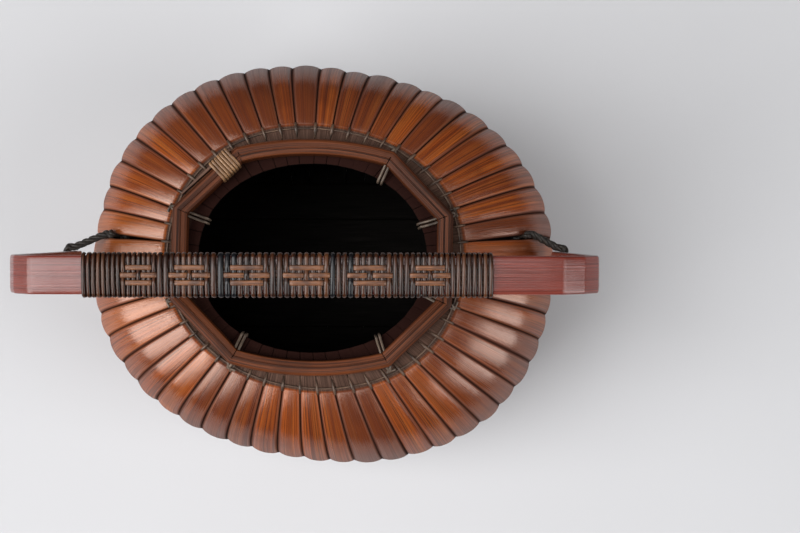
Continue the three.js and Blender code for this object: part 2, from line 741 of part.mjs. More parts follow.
function addHandleInlays() {
  const length = WINDING_RIGHT - WINDING_LEFT;
  for (let index = 0; index < INLAY_COUNT; index += 1) {
    const box = new THREE.BoxGeometry(length, INLAY_WIDTH, INLAY_THICKNESS);
    const inlay = addPiece(handle, `handle_inlay_${index + 1}`, box, inlayRattan);
    const y = (index - (INLAY_COUNT - 1) / 2) * INLAY_PITCH;
    const z = barZ + HANDLE_THICKNESS / 2 + CLEARANCE + INLAY_THICKNESS / 2;
    inlay.position.set((WINDING_LEFT + WINDING_RIGHT) / 2, y, z);
  }
}

// The winding goes round the strip and its inlays, and so has a low crown on top.
function addHandleWinding() {
  const inlayHalf = ((INLAY_COUNT - 1) * INLAY_PITCH + INLAY_WIDTH) / 2;
  const inlayTop = HANDLE_THICKNESS / 2 + CLEARANCE + INLAY_THICKNESS;
  const corners = handleSection();
  const wrapped = [
    ...corners.slice(0, 2),
    new THREE.Vector2(inlayHalf, inlayTop),
    new THREE.Vector2(-inlayHalf, inlayTop),
    ...corners.slice(2, 6),
    new THREE.Vector2(0, -HANDLE_THICKNESS / 2),
    ...corners.slice(6),
  ];
  const outline = offsetOutline(wrapped.toReversed(), -WINDING_RADIUS - CLEARANCE);
  const pitch = (WINDING_RIGHT - WINDING_LEFT - 2 * WINDING_RADIUS) / WINDING_LOOPS;
  const place = (along, point) => new THREE.Vector3(along, point.x, barZ + point.y);
  const start = WINDING_LEFT + WINDING_RADIUS;
  const points = windingPoints(outline, WINDING_LOOPS, pitch, start, place);
  console.log('handle winding, least self gap', leastSelfGap(points, outline.length, WINDING_RADIUS));
  const rings = tubeRings(points, WINDING_RADIUS, TUBE_SIDES);
  addPiece(handle, 'handle_winding', solid(skin(rings)), darkRattan);
}

// Half of a tie cord: from its knot inside, out between two ribs, down the shoulder and round the leg.
function cordStations(boundary, sideX, sideY) {
  const share = boundary / RIB_COUNT;
  const entry = bodyPoint(share, CORD_ENTRY, 0);
  const normal = bodyNormal(share, CORD_ENTRY);
  const station = (distance, halfWidth, halfHeight) => {
    const point = entry.clone().addScaledVector(normal, distance);
    return { point, halfWidth, halfHeight };
  };
  const flat = CORD_SLIT / 2 - 1.5 * CLEARANCE;
  const knotDepth = RIB_THICKNESS + CLEARANCE + CORD_KNOT_RADIUS;
  const lift = CORD_RADIUS + 3 * CLEARANCE;
  const rest = bodyPoint(share, CORD_REST, 0);
  rest.addScaledVector(bodyNormal(share, CORD_REST), lift);
  const reach = CORD_RADIUS + 2 * CLEARANCE;
  const legEdge = HANDLE_WIDTH / 2;
  const legFace = legX + HANDLE_THICKNESS / 2;
  const corner = reach * Math.SQRT1_2;
  const whole = (point) => ({ point, halfWidth: CORD_RADIUS, halfHeight: CORD_RADIUS });
  const round = (outwards, along) => whole(
    new THREE.Vector3(sideX * outwards, PIVOT_Y + sideY * along, PIVOT_Z),
  );
  return [
    station(-knotDepth - CORD_KNOT_RADIUS, CORD_KNOT_RADIUS / 2, CORD_KNOT_RADIUS / 2),
    station(-knotDepth, CORD_KNOT_RADIUS, CORD_KNOT_RADIUS),
    station(-RIB_THICKNESS - 2 * CLEARANCE, flat, CORD_RADIUS),
    station(2 * CLEARANCE, flat, CORD_RADIUS),
    station(lift, CORD_RADIUS, CORD_RADIUS),
    whole(rest),
    round(legX, legEdge + reach),
    round(legFace + corner, legEdge + corner),
    round(legFace + reach, legEdge / 2),
  ];
}

function addTieCord(name, sideX, upperBoundary, lowerBoundary) {
  const upper = cordStations(upperBoundary, sideX, 1);
  const lower = cordStations(lowerBoundary, sideX, -1);
  const stations = [...upper, ...lower.toReversed()];
  const curve = new THREE.CatmullRomCurve3(stations.map((station) => station.point), false, 'centripetal');
  const steps = (stations.length - 1) * CORD_SPAN_STEPS;
  const vertical = new THREE.Vector3(0, 0, 1);
  const rings = Array.from({ length: steps + 1 }, (_, index) => {
    const part = index / steps;
    const from = stations[Math.floor(index / CORD_SPAN_STEPS)];
    const to = stations[Math.ceil(index / CORD_SPAN_STEPS)];
    const blend = (index % CORD_SPAN_STEPS) / CORD_SPAN_STEPS;
    const halfWidth = THREE.MathUtils.lerp(from.halfWidth, to.halfWidth, blend);
    const halfHeight = THREE.MathUtils.lerp(from.halfHeight, to.halfHeight, blend);
    const tangent = curve.getTangent(part);
    const side = tangent.clone().cross(vertical).normalize();
    const up = side.clone().cross(tangent).normalize();
    return ellipse(curve.getPoint(part), side, up, halfWidth, halfHeight, CORD_SIDES);
  });
  addPiece(basket, name, solid(skin(rings)), blackCord);
}

addStrips();
addNeck();
addRimFrame();
addRimLap();
addRimLashing();
addCornerTies();
addTieCord('tie_cord_right', 1, 1, RIB_COUNT - 1);
addTieCord('tie_cord_left', -1, HALF_TURN_RIBS - 1, HALF_TURN_RIBS + 1);
addHandleStrip();
addHandleInlays();
addHandleWinding();

handle.position.set(0, PIVOT_Y, PIVOT_Z);
handle.rotation.x = THREE.MathUtils.degToRad(HANDLE_LEAN);

const root = new THREE.Group();
root.add(basket, handle);

export default root;
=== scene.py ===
# A melon-shaped flower basket of split bamboo with a rattan-wound bail handle, finished over its solids.

import bisect
import functools
import math
import random

import bpy
from mathutils import Matrix, Vector


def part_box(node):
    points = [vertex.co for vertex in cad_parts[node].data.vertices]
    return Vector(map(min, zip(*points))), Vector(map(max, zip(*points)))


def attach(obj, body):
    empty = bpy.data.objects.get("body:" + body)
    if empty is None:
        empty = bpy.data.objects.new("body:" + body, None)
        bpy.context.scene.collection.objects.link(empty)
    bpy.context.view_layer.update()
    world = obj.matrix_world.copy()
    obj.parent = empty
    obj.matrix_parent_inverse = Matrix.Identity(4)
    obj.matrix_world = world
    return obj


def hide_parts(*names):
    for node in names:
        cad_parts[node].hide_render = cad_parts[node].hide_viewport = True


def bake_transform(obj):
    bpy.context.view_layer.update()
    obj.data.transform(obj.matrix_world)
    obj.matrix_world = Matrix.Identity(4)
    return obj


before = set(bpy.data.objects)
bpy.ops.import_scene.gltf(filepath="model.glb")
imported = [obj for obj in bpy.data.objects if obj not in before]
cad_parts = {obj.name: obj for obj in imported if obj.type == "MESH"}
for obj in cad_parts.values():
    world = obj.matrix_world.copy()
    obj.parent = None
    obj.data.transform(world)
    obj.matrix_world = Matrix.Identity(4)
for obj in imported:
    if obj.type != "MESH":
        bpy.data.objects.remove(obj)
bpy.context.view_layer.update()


# Floor strips and ribs.
# Thirteen lengths of split bamboo lie crossed as the floor, five over eight. Both ends of each are split
# in two, bent by heat round the belly, and pared thin and flat where they run in under the rim.
# They are lacquered red-brown outside. The inside and the cut edges are stained dark, and painted nearly
# black as shade.

MM = 0.001
LONG_STRIPS = sum(name.startswith("long_strip_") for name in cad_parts)
CROSS_STRIPS = sum(name.startswith("cross_strip_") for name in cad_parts)
RIB_COUNT = 4 * (LONG_STRIPS + CROSS_STRIPS)
HALF_TURN = RIB_COUNT // 2
STRIP_PITCH = 25.4 * MM
STRIP_THICKNESS = 2.0 * MM
LONG_BASE_Z = 2.3 * MM
FLOOR_HALF_X = CROSS_STRIPS * STRIP_PITCH / 2
FLOOR_HALF_Y = LONG_STRIPS * STRIP_PITCH / 2
FLOOR_NARROWING = 0.004
NARROWING_REACH = 0.12
BELLY_Z = 90 * MM
BELLY_HALF_X = 137.8 * MM
BELLY_HALF_Y = 117.7 * MM
BELLY_POWER = 2.27
BELLY_TURN = math.radians(-9)
BELLY_SHIFT_X = 3.1 * MM
SHOULDER_POWER = 3
MOUTH_Z = 167 * MM
MOUTH_SHIFT_X = -2 * MM
MOUTH_HALF_X = 64 * MM
MOUTH_HALF_Y = 53 * MM
MOUTH_POWER = 2.1
NECK = 1 + 4.85 / 6
NECK_SHOULDER = 0.016
NECK_OUTWARDS = 0.284
ENDS_PULL = 0.029
SIDE_PULL = 0.0065
CORNER_PULL = 0.022
CORNER_SHARPNESS = 8
NEAR_CORNER = math.radians(216)
PULL_START = 1.55
PARED_DEPTH = 0.3 * MM
PARED_CROWN = 0.2
RIB_GAP = 0.2 * MM
GAP_BELOW = 0.1 * MM
GAP_CHANGE = (0.9, 1.1)
RIB_CROWN = 0.13
NECK_CROWN = 0.35
CROWN_CHANGE = (1.1, 1.7)
CROWN_POWER = 2.3
RIB_COLUMNS = 8
LOWER_ROWS = 16
UPPER_ROWS = 28
UPPER_CROWDING = 1.6
PARING_ROWS = (0.66, 0.33, 0)
TONGUE_ROWS = 5
FLOOR_ROWS = 14
EDGE_ROUND = 0.45 * MM
CORD_ENTRY = 1.5
CORD_SLIT = 2.4 * MM
CORD_SLIT_REACH = 0.25
OVAL_SAMPLES = 720
UV_UNIT = 10 * MM
RIB_UV_WIDTH = 1.6
RIB_UV_STEP = 4

chance = random.Random(52)
# The ribs on the left, which face the large lamp, are painted paler: painted light added to each rib's
# random tone.
LIT_SIDE_RIBS = range(24, 33)
rib_tone_and_light = [0.8 * chance.random() + 0.2 * (rib in LIT_SIDE_RIBS) for rib in range(RIB_COUNT)]
rib_fullness = [chance.uniform(0.84, 1.0) for _ in range(RIB_COUNT)]
rib_proud = [chance.uniform(-0.7, 0.0) * MM for _ in range(RIB_COUNT)]
rib_wander = [chance.uniform(-0.07, 0.07) for _ in range(RIB_COUNT)]


def lengths_along(points):
    lengths = [0.0]
    for before, after in zip(points, points[1:]):
        lengths.append(lengths[-1] + (after - before).length)
    return lengths


def make_oval(half_x, half_y, power, turn, shift_x):
    """Points round an oval and the length to each of them, from its +X side."""
    points = []
    for sample in range(OVAL_SAMPLES + 1):
        angle = math.tau * sample / OVAL_SAMPLES
        across = abs(math.cos(angle - turn) / half_x) ** power
        along = abs(math.sin(angle - turn) / half_y) ** power
        reach = (across + along) ** (-1 / power)
        points.append(Vector((shift_x + reach * math.cos(angle), reach * math.sin(angle))))
    return points, lengths_along(points)


BELLY_OVAL = make_oval(BELLY_HALF_X, BELLY_HALF_Y, BELLY_POWER, BELLY_TURN, BELLY_SHIFT_X)
MOUTH_OVAL = make_oval(MOUTH_HALF_X, MOUTH_HALF_Y, MOUTH_POWER, 0, MOUTH_SHIFT_X)


def oval_point(oval, share):
    points, lengths = oval
    target = share % 1 * lengths[-1]
    upper = max(1, bisect.bisect_left(lengths, target))
    part = (target - lengths[upper - 1]) / (lengths[upper] - lengths[upper - 1])
    return points[upper - 1].lerp(points[upper], part)


def floor_edge_point(share):
    """The point at a share of the floor's rectangular edge, from the middle of its +X side."""
    corners = [Vector((x * FLOOR_HALF_X, y * FLOOR_HALF_Y))
               for x, y in ((1, 0), (1, 1), (-1, 1), (-1, -1), (1, -1), (1, 0))]
    left = share % 1 * 4 * (FLOOR_HALF_X + FLOOR_HALF_Y)
    for before, after in zip(corners, corners[1:]):
        length = (after - before).length
        if left <= length:
            return before.lerp(after, left / length)
        left -= length
    return corners[0]


def smooth_step(value, low, high):
    part = min(1.0, max(0.0, (value - low) / (high - low)))
    return part * part * (3 - 2 * part)


def draw_in(share, height):
    """Moves heights near the neck, which lies closer to the frame at its ends and at one corner."""
    angle = math.tau * share
    outwards = NECK_OUTWARDS - ENDS_PULL * math.cos(2 * angle) - SIDE_PULL * math.cos(angle)
    outwards -= CORNER_PULL * max(0.0, math.cos(angle - NEAR_CORNER)) ** CORNER_SHARPNESS
    shift = 1 + math.acos(outwards) * 2 / math.pi - NECK
    part = smooth_step(height, PULL_START, NECK) if height < NECK else (2 - height) / (2 - NECK)
    return height + shift * part


def body_point(share, height, base_z=0.0):
    """A point in the valley between ribs: height 0 is the floor's edge, 1 the belly and 2 the mouth."""
    belly = oval_point(BELLY_OVAL, share)
    if height <= 1:
        angle = height * math.pi / 2
        plan = floor_edge_point(share).lerp(belly, math.sin(angle))
        z = base_z + (BELLY_Z - base_z) * (1 - math.cos(angle))
    else:
        outwards = max(0.0, math.cos((draw_in(share, height) - 1) * math.pi / 2))
        plan = belly.lerp(oval_point(MOUTH_OVAL, share), 1 - outwards)
        z = BELLY_Z + (MOUTH_Z - BELLY_Z) * (1 - outwards ** SHOULDER_POWER) ** (1 / SHOULDER_POWER)
    return Vector((plan.x, plan.y, z))


def body_normal(share, height):
    share_step = 0.05 / RIB_COUNT
    height_step = 0.01
    around = body_point(share + share_step, height) - body_point(share - share_step, height)
    upper = body_point(share, min(2, height + height_step))
    lower = body_point(share, max(0, height - height_step))
    return around.cross(upper - lower).normalized()


def rib_gap(boundary, height, split):
    """The gap beside a rib: none where a strip is whole, less below the belly, more beside a cord."""
    if boundary == split and height == 0:
        return 0.0
    spread = 0.0
    if boundary % HALF_TURN in (1, HALF_TURN - 1):
        spread = max(0.0, 1 - abs(height - CORD_ENTRY) / CORD_SLIT_REACH)
    gap = GAP_BELOW + (RIB_GAP - GAP_BELOW) * smooth_step(height, *GAP_CHANGE)
    return gap + (CORD_SLIT - gap) * spread


def boundary_share(boundary, height):
    growth = math.sin(min(1, height) * math.pi / 2)
    return (boundary + rib_wander[boundary % RIB_COUNT] * growth) / RIB_COUNT


@functools.cache
def rib_section(rib, height, base_z, split):
    """The two valley points beside a rib, its outward normal and how far it stands proud.

    A crowned rib's edges slope back, and rounding them opens the gap, so they start closer together.
    """
    shares = [boundary_share(rib, height), boundary_share(rib + 1, height)]
    left, right = (body_point(share, height, base_z) for share in shares)
    normal = (body_normal(shares[0], height) + body_normal(shares[1], height)).normalized()
    across = (right - left).normalized()
    growth = math.sin(min(1, height) * math.pi / 2)
    flatter = 1 - (1 - NECK_CROWN) * smooth_step(height, *CROWN_CHANGE)
    steepness = RIB_CROWN * rib_fullness[rib] * growth * flatter
    undercut = 2 * CROWN_POWER * steepness * EDGE_ROUND
    crown = steepness * (right - left).length
    left = left + across * (rib_gap(rib, height, split) / 2 - undercut)
    right = right - across * (rib_gap(rib + 1, height, split) / 2 - undercut)
    return left, right, normal, crown, rib_proud[rib] * growth


def rib_point(rib, height, base_z, split, part):
    left, right, normal, crown, proud = rib_section(rib, height, base_z, split)
    arch = 1 - abs(2 * part - 1) ** CROWN_POWER
    pared = smooth_step(height, NECK - NECK_SHOULDER, NECK)
    rise = (crown * arch + proud) * (1 - pared) + (PARED_CROWN * crown * arch - PARED_DEPTH) * pared
    return left.lerp(right, part) + normal * rise


def rib_rows():
    """Heights of a rib's rows, close together above the belly and where it is pared down at the neck."""
    lower = [step / LOWER_ROWS for step in range(LOWER_ROWS)]
    reach = NECK - NECK_SHOULDER - 1
    upper = [1 + reach * (step / UPPER_ROWS) ** UPPER_CROWDING for step in range(UPPER_ROWS + 1)]
    paring = [NECK - NECK_SHOULDER * part for part in PARING_ROWS]
    tongue = [NECK + (2 - NECK) * step / TONGUE_ROWS for step in range(1, TONGUE_ROWS + 1)]
    return [*lower, *upper, *paring, *tongue]


RIB_ROWS = rib_rows()


def select_only(piece):
    bpy.ops.object.select_all(action="DESELECT")
    piece.select_set(True)
    bpy.context.view_layer.objects.active = piece


def edit(piece):
    """Opens a piece in edit mode with all of it selected."""
    select_only(piece)
    bpy.ops.object.mode_set(mode="EDIT")
    bpy.ops.mesh.select_mode(type="VERT")
    bpy.ops.mesh.select_all(action="SELECT")


def close_edit():
    bpy.ops.object.mode_set(mode="OBJECT")


def add_sheet(name, columns, rows):
    """A flat unit grid, to be formed into a piece."""
    bpy.ops.mesh.primitive_grid_add(x_subdivisions=columns, y_subdivisions=rows, size=1)
    sheet = bpy.context.object
    sheet.name = name
    sheet.data.name = name
    return sheet


def apply_modifier(piece, kind, **settings):
    modifier = piece.modifiers.new(kind.lower(), kind)
    for setting, value in settings.items():
        setattr(modifier, setting, value)
    select_only(piece)
    bpy.ops.object.modifier_apply(modifier=modifier.name)


def shade(piece, degrees):
    select_only(piece)
    bpy.ops.object.shade_smooth_by_angle(angle=math.radians(degrees))


def set_values(piece, name, values):
    """Stores one number for each point of a piece, for its material to read."""
    attribute = piece.data.attributes.new(name, "FLOAT", "POINT")
    attribute.data.foreach_set("value", values)


def dress(piece, body, node):
    """Hands a finished piece to the frame: what it moves with, and hides the part it stands for."""
    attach(piece, body)
    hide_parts(node)


def blank_material(name):
    material = bpy.data.materials.new(name)
    material.use_nodes = True
    tree = material.node_tree
    return material, tree, tree.nodes["Principled BSDF"]


def add_node(tree, kind, inputs=(), **settings):
    node = tree.nodes.new(kind)
    for setting, value in settings.items():
        setattr(node, setting, value)
    for socket, value in dict(inputs).items():
        if isinstance(value, bpy.types.NodeSocket):
            tree.links.new(value, node.inputs[socket])
        else:
            node.inputs[socket].default_value = value
    return node


def streaks(tree, across, along, detail=4.0, roughness=0.6):
    """Noise drawn out along the grain. The piece's UV map is in centimetres, across and along."""
    uv = add_node(tree, "ShaderNodeUVMap")
    stretch = {"Vector": uv.outputs["UV"], "Scale": (across, along, 1)}
    mapping = add_node(tree, "ShaderNodeMapping", stretch)
    look = {"Vector": mapping.outputs["Vector"], "Scale": 1.0, "Detail": detail, "Roughness": roughness}
    return add_node(tree, "ShaderNodeTexNoise", look).outputs["Fac"]


def patches(tree, size, detail=3.0):
    """Cloudy noise in space, with clouds of about that size in metres."""
    place = add_node(tree, "ShaderNodeTexCoord").outputs["Object"]
    look = {"Vector": place, "Scale": 1 / size, "Detail": detail}
    return add_node(tree, "ShaderNodeTexNoise", look).outputs["Fac"]


def span(tree, value, low, high, to_low=0.0, to_high=1.0):
    limits = {"Value": value, "From Min": low, "From Max": high, "To Min": to_low, "To Max": to_high}
    return add_node(tree, "ShaderNodeMapRange", limits).outputs["Result"]


def mix(tree, factor, first, second):
    """Two colours mixed, each of them the output of a node or three numbers."""
    sockets = {0: factor}
    for socket, colour in ((6, first), (7, second)):
        sockets[socket] = colour if isinstance(colour, bpy.types.NodeSocket) else (*colour, 1)
    return add_node(tree, "ShaderNodeMix", sockets, data_type="RGBA").outputs[2]


def value_of(tree, attribute):
    return add_node(tree, "ShaderNodeAttribute", attribute_name=attribute).outputs["Fac"]


def add_bump(tree, shader, height, strength, distance):
    look = {"Height": height, "Strength": strength, "Distance": distance}
    bump = add_node(tree, "ShaderNodeBump", look)
    tree.links.new(bump.outputs["Normal"], shader.inputs["Normal"])


def grain(tree, dark, light, glow, stain):
    """The colour of bamboo along its grain, and the fibres that roughen it."""
    fibre = streaks(tree, 13, 0.08, detail=6, roughness=0.7)
    colour = mix(tree, span(tree, fibre, 0.42, 0.58), dark, light)
    colour = mix(tree, span(tree, streaks(tree, 2.2, 0.05), 0.46, 0.7, 0, 0.6), colour, glow)
    colour = mix(tree, span(tree, streaks(tree, 11, 0.05, detail=2), 0.55, 0.6, 0, 0.8), colour, stain)
    colour = mix(tree, span(tree, patches(tree, 0.03), 0.52, 0.7, 0, 0.5), colour, stain)
    return colour, fibre


def gloss(tree, shader, fibre, smooth, rough, level, bump):
    """Lacquer that breaks its highlights up along the fibres."""
    roughness = span(tree, fibre, 0.62, 0.38, smooth, rough)
    tree.links.new(roughness, shader.inputs["Roughness"])
    shader.inputs["Specular IOR Level"].default_value = level
    add_bump(tree, shader, fibre, bump, 0.3 * MM)
    return roughness


def larger(tree, first, second):
    return add_node(tree, "ShaderNodeMath", {0: first, 1: second}, operation="MAXIMUM").outputs[0]


def rib_lacquer():
    """Red-brown lacquer: dark in the gaps, paler on the ribs facing the left lamp as painted light, bare
    where ribs are pared and near black inside the frame as painted shade, dull there and over the belly.
    """
    material, tree, shader = blank_material("rib_lacquer")
    tone = value_of(tree, "rib_tone_and_light")
    height = value_of(tree, "rib_height")
    edge = value_of(tree, "rib_edge")
    colour, fibre = grain(
        tree, dark=(0.098, 0.0182, 0.0042), light=(0.252, 0.056, 0.0105),
        glow=(0.35, 0.098, 0.0175), stain=(0.049, 0.0105, 0.0042))
    # Each rib's tone darkens or pales it, and the ribs facing the left lamp get the paler end as painted
    # light.
    colour = mix(tree, span(tree, tone, 0.64, 0.0, 0, 0.75), colour, (0.07, 0.0175, 0.0084))
    colour = mix(tree, span(tree, tone, 0.75, 1.0, 0, 0.4), colour, (0.35, 0.098, 0.0168))
    colour = mix(tree, span(tree, edge, 0.8, 0.97, 0, 0.95), colour, (0.014, 0.0049, 0.0035))
    # Bare pared ends, kept dark partly as painted shade. Inside the frame they go near black as painted
    # shade cast by the frame and the handle.
    bare_and_shade = mix(tree, span(tree, fibre, 0.38, 0.62), (0.0245, 0.0126, 0.0091), (0.105, 0.0595, 0.0434))
    bare_and_shade = mix(tree, span(tree, height, 1.88, 1.93, 0, 0.95), bare_and_shade, (0.0126, 0.0035, 0.0028))
    bare = span(tree, height, NECK - NECK_SHOULDER, NECK - NECK_SHOULDER / 2)
    tree.links.new(mix(tree, bare, colour, bare_and_shade), shader.inputs["Base Color"])
    roughness = gloss(tree, shader, fibre, 0.13, 0.3, 1.0, 0.42)
    worn = span(tree, height, NECK - 1.8 * NECK_SHOULDER, NECK - NECK_SHOULDER)
    dusty = span(tree, height, 1.5, 1.1, 0, 0.6)
    dull = larger(tree, larger(tree, worn, span(tree, edge, 0.7, 0.95)), dusty)
    matte = add_node(tree, "ShaderNodeMix", {0: dull, 2: roughness, 3: 0.9})
    tree.links.new(matte.outputs[0], shader.inputs["Roughness"])
    tree.links.new(span(tree, dull, 0, 1, 1.0, 0.1), shader.inputs["Specular IOR Level"])
    shader.inputs["Specular Tint"].default_value = (1, 0.74, 0.63, 1)
    return material


# Nearly black: the stain of the inside and the cut edges, darkened further as painted shade.
def stain_and_shade():
    material, tree, shader = blank_material("stain_and_shade")
    fibre = streaks(tree, 9, 0.3, detail=5)
    colour = mix(tree, span(tree, fibre, 0.3, 0.7), (0.0012, 0.001, 0.0008), (0.004, 0.0027, 0.0018))
    tree.links.new(colour, shader.inputs["Base Color"])
    gloss(tree, shader, fibre, 0.6, 0.8, 0.06, 0.3)
    return material


RIB_LACQUER = rib_lacquer()
STAIN_AND_SHADE = stain_and_shade()


def strip_row(row):
    """The end of a strip that a row lies on with its height there, or how far over the floor it is."""
    last = len(RIB_ROWS) - 1
    if row <= last:
        return 0, RIB_ROWS[last - row], 0.0
    if row < last + FLOOR_ROWS:
        return None, 0.0, (row - last) / FLOOR_ROWS
    return 1, RIB_ROWS[row - last - FLOOR_ROWS], 1.0


def lay_strip(name, node, first_rib, last_rib, base_z):
    """One strip: two ribs down from the mouth, under the floor and up the two ribs opposite."""
    columns = 2 * RIB_COLUMNS
    rows = 2 * (len(RIB_ROWS) - 1) + FLOOR_ROWS
    strip = add_sheet(name, columns, rows)
    mesh = strip.data

    def row_of(index):
        return round((mesh.vertices[index].co.y + 0.5) * rows)

    def on_split(edge):
        ends = [strip_row(row_of(index))[0] for index in edge.vertices]
        middle = all(abs(mesh.vertices[index].co.x) < 0.1 / columns for index in edge.vertices)
        return middle and ends[0] is not None and ends[0] == ends[1]

    edit(strip)
    bpy.ops.mesh.select_all(action="DESELECT")
    bpy.ops.mesh.select_mode(type="EDGE")
    close_edit()
    for edge in mesh.edges:
        edge.select = on_split(edge)
    bpy.ops.object.mode_set(mode="EDIT")
    bpy.ops.mesh.edge_split(type="EDGE")
    close_edit()

    half_of = {}
    for face in mesh.polygons:
        for index in face.vertices:
            half_of[index] = 0 if face.center.x > 0 else 1

    def end_point(end, half, height, part):
        if end == 0:
            return rib_point((first_rib + half) % RIB_COUNT, height, base_z, first_rib + 1, part)
        return rib_point(last_rib + 1 - half, height, base_z, last_rib + 1, 1 - part)

    def floor_point(half, over, part):
        points = [end_point(end, half, 0.0, part) for end in (0, 1)]
        outer = [end_point(end, 0, 0.0, 0.0) + end_point(end, 1, 0.0, 1.0) for end in (0, 1)]
        point = points[0].lerp(points[1], over)
        middle = outer[0].lerp(outer[1], over) / 2
        inside = smooth_step(min(over, 1 - over), 0, NARROWING_REACH)
        return middle + (point - middle) * (1 - FLOOR_NARROWING * inside)

    def strip_point(row, half, part):
        end, height, over = strip_row(row)
        return floor_point(half, over, part) if end is None else end_point(end, half, height, part)

    ribs = [[(first_rib + half) % RIB_COUNT, last_rib + 1 - half] for half in (0, 1)]
    places, tones_and_light, heights, edges, across = [], [], [], [], []
    for vertex in mesh.vertices:
        half = half_of[vertex.index]
        part = (0.5 - vertex.co.x) * 2 - half
        row = row_of(vertex.index)
        end, height, over = strip_row(row)
        tone = [rib_tone_and_light[rib] for rib in ribs[half]]
        places.append(strip_point(row, half, part))
        tones_and_light.append(tone[0] + (tone[1] - tone[0]) * over)
        heights.append(height)
        edges.append(abs(2 * part - 1) if end is not None and height > 0 else 0.0)
        across.append(half + part)
    lengths = lengths_along([strip_point(row, 0, 0.5) for row in range(rows + 1)])
    uv_map = mesh.uv_layers.active.data
    for loop in mesh.loops:
        length = lengths[row_of(loop.vertex_index)]
        shift = RIB_UV_STEP * ribs[half_of[loop.vertex_index]][0]
        uv_map[loop.index].uv = (shift + across[loop.vertex_index] * RIB_UV_WIDTH, length / UV_UNIT)
    for vertex, place in zip(mesh.vertices, places):
        vertex.co = place
    set_values(strip, "rib_tone_and_light", tones_and_light)
    set_values(strip, "rib_height", heights)
    set_values(strip, "rib_edge", edges)
    mesh.materials.append(RIB_LACQUER)
    mesh.materials.append(STAIN_AND_SHADE)
    apply_modifier(strip, "SOLIDIFY", thickness=STRIP_THICKNESS, offset=-1, material_offset=1,
                   material_offset_rim=1)
    apply_modifier(strip, "BEVEL", width=EDGE_ROUND, segments=2, limit_method="ANGLE",
                   angle_limit=math.radians(50), miter_outer="MITER_ARC")
    # The bevel dips where a split begins, and the strip lies flat there.
    for vertex in mesh.vertices:
        vertex.co.z = max(vertex.co.z, base_z)
    shade(strip, 45)
    dress(strip, "basket", node)


for index in range(LONG_STRIPS):
    start_rib = (RIB_COUNT - LONG_STRIPS + 2 * index) % RIB_COUNT
    end_rib = HALF_TURN + LONG_STRIPS - 2 - 2 * index
    lay_strip(f"long_ribs_{index + 1}", f"long_strip_{index + 1}", start_rib, end_rib, LONG_BASE_Z)
for index in range(CROSS_STRIPS):
    start_rib = LONG_STRIPS + 2 * index
    end_rib = RIB_COUNT - LONG_STRIPS - 2 - 2 * index
    lay_strip(f"cross_ribs_{index + 1}", f"cross_strip_{index + 1}", start_rib, end_rib, 0.0)


# Neck hoop.
# A round bamboo rod bent into an oval hoop inside the ribs, just below the mouth. The ties round the
# neck pull the ribs against it. Like the inside, it is stained dark and painted near black as shade.

CLEARANCE = 0.3 * MM
HOOP_RADIUS = 2.0 * MM
HOOP_HEIGHT = 1 + 4.75 / 6
RIB_DEPTH = 2.6 * MM
WELD = 0.001 * MM


def ellipse(centre, side, up, half_width, half_height, sides, power=2.0):
    """A closed section: round at power 2, squarer above it."""
    points = []
    for step in range(sides):
        cosine = math.cos(math.tau * step / sides)
        sine = math.sin(math.tau * step / sides)
        across = math.copysign(abs(cosine) ** (2 / power), cosine)
        rise = math.copysign(abs(sine) ** (2 / power), sine)
        points.append(centre + side * (half_width * across) + up * (half_height * rise))
    return points


def roll_tube(name, rings, closed=False):
    """A sheet rolled up, one row of it to each ring, with its seam welded and open ends filled."""
    sides = len(rings[0])
    rows = len(rings) if closed else len(rings) - 1
    tube = add_sheet(name, sides, rows)
    mesh = tube.data
    around = lengths_along([*rings[0], rings[0][0]])
    middles = [sum(ring, Vector()) / sides for ring in rings]
    along = lengths_along([*middles, middles[0]])
    uv_map = mesh.uv_layers.active.data
    for loop in mesh.loops:
        place = mesh.vertices[loop.vertex_index].co
        column = round((place.x + 0.5) * sides)
        row = round((place.y + 0.5) * rows)
        uv_map[loop.index].uv = (around[column] / UV_UNIT, along[row] / UV_UNIT)
    for vertex in mesh.vertices:
        column = round((vertex.co.x + 0.5) * sides) % sides
        row = round((vertex.co.y + 0.5) * rows) % len(rings)
        vertex.co = rings[row][column]
    edit(tube)
    bpy.ops.mesh.remove_doubles(threshold=WELD)
    if not closed:
        bpy.ops.mesh.fill_holes(sides=0)
    bpy.ops.mesh.normals_make_consistent(inside=False)
    close_edit()
    return tube


def tangents(points, closed=False):
    count = len(points)
    found = []
    for index in range(count):
        before = points[(index - 1) % count] if closed else points[max(index - 1, 0)]
        after = points[(index + 1) % count] if closed else points[min(index + 1, count - 1)]
        found.append((after - before).normalized())
    return found


def neck_ring(height, distance, radius, sides, steps_each):
    """Rings of a hoop that follows the neck, at a distance from the valleys between ribs."""
    shares = [step / (steps_each * RIB_COUNT) for step in range(steps_each * RIB_COUNT)]
    normals = [body_normal(share, height) for share in shares]
    points = [body_point(share, height) + normal * distance for share, normal in zip(shares, normals)]
    rings = []
    for point, normal, tangent in zip(points, normals, tangents(points, closed=True)):
        up = tangent.cross(normal).normalized()
        rings.append(ellipse(point, normal, up, radius, radius, sides))
    return rings


def finish(piece, material, degrees, body, node):
    """Gives a formed piece its material and shading and hands it over."""
    piece.data.materials.append(material)
    shade(piece, degrees)
    dress(piece, body, node)


hoop_depth = RIB_DEPTH + 2 * CLEARANCE + HOOP_RADIUS
hoop_rings = neck_ring(HOOP_HEIGHT, -hoop_depth, HOOP_RADIUS, sides=14, steps_each=4)
neck_rod = roll_tube("neck_rod", hoop_rings, closed=True)
finish(neck_rod, STAIN_AND_SHADE, 60, "basket", "neck_hoop")


# Neck binding.
# A thin strand of rattan laid round the neck in the step where the ribs are pared. At every gap
# between ribs a short tie of the same rattan holds it down and runs in under the rim.

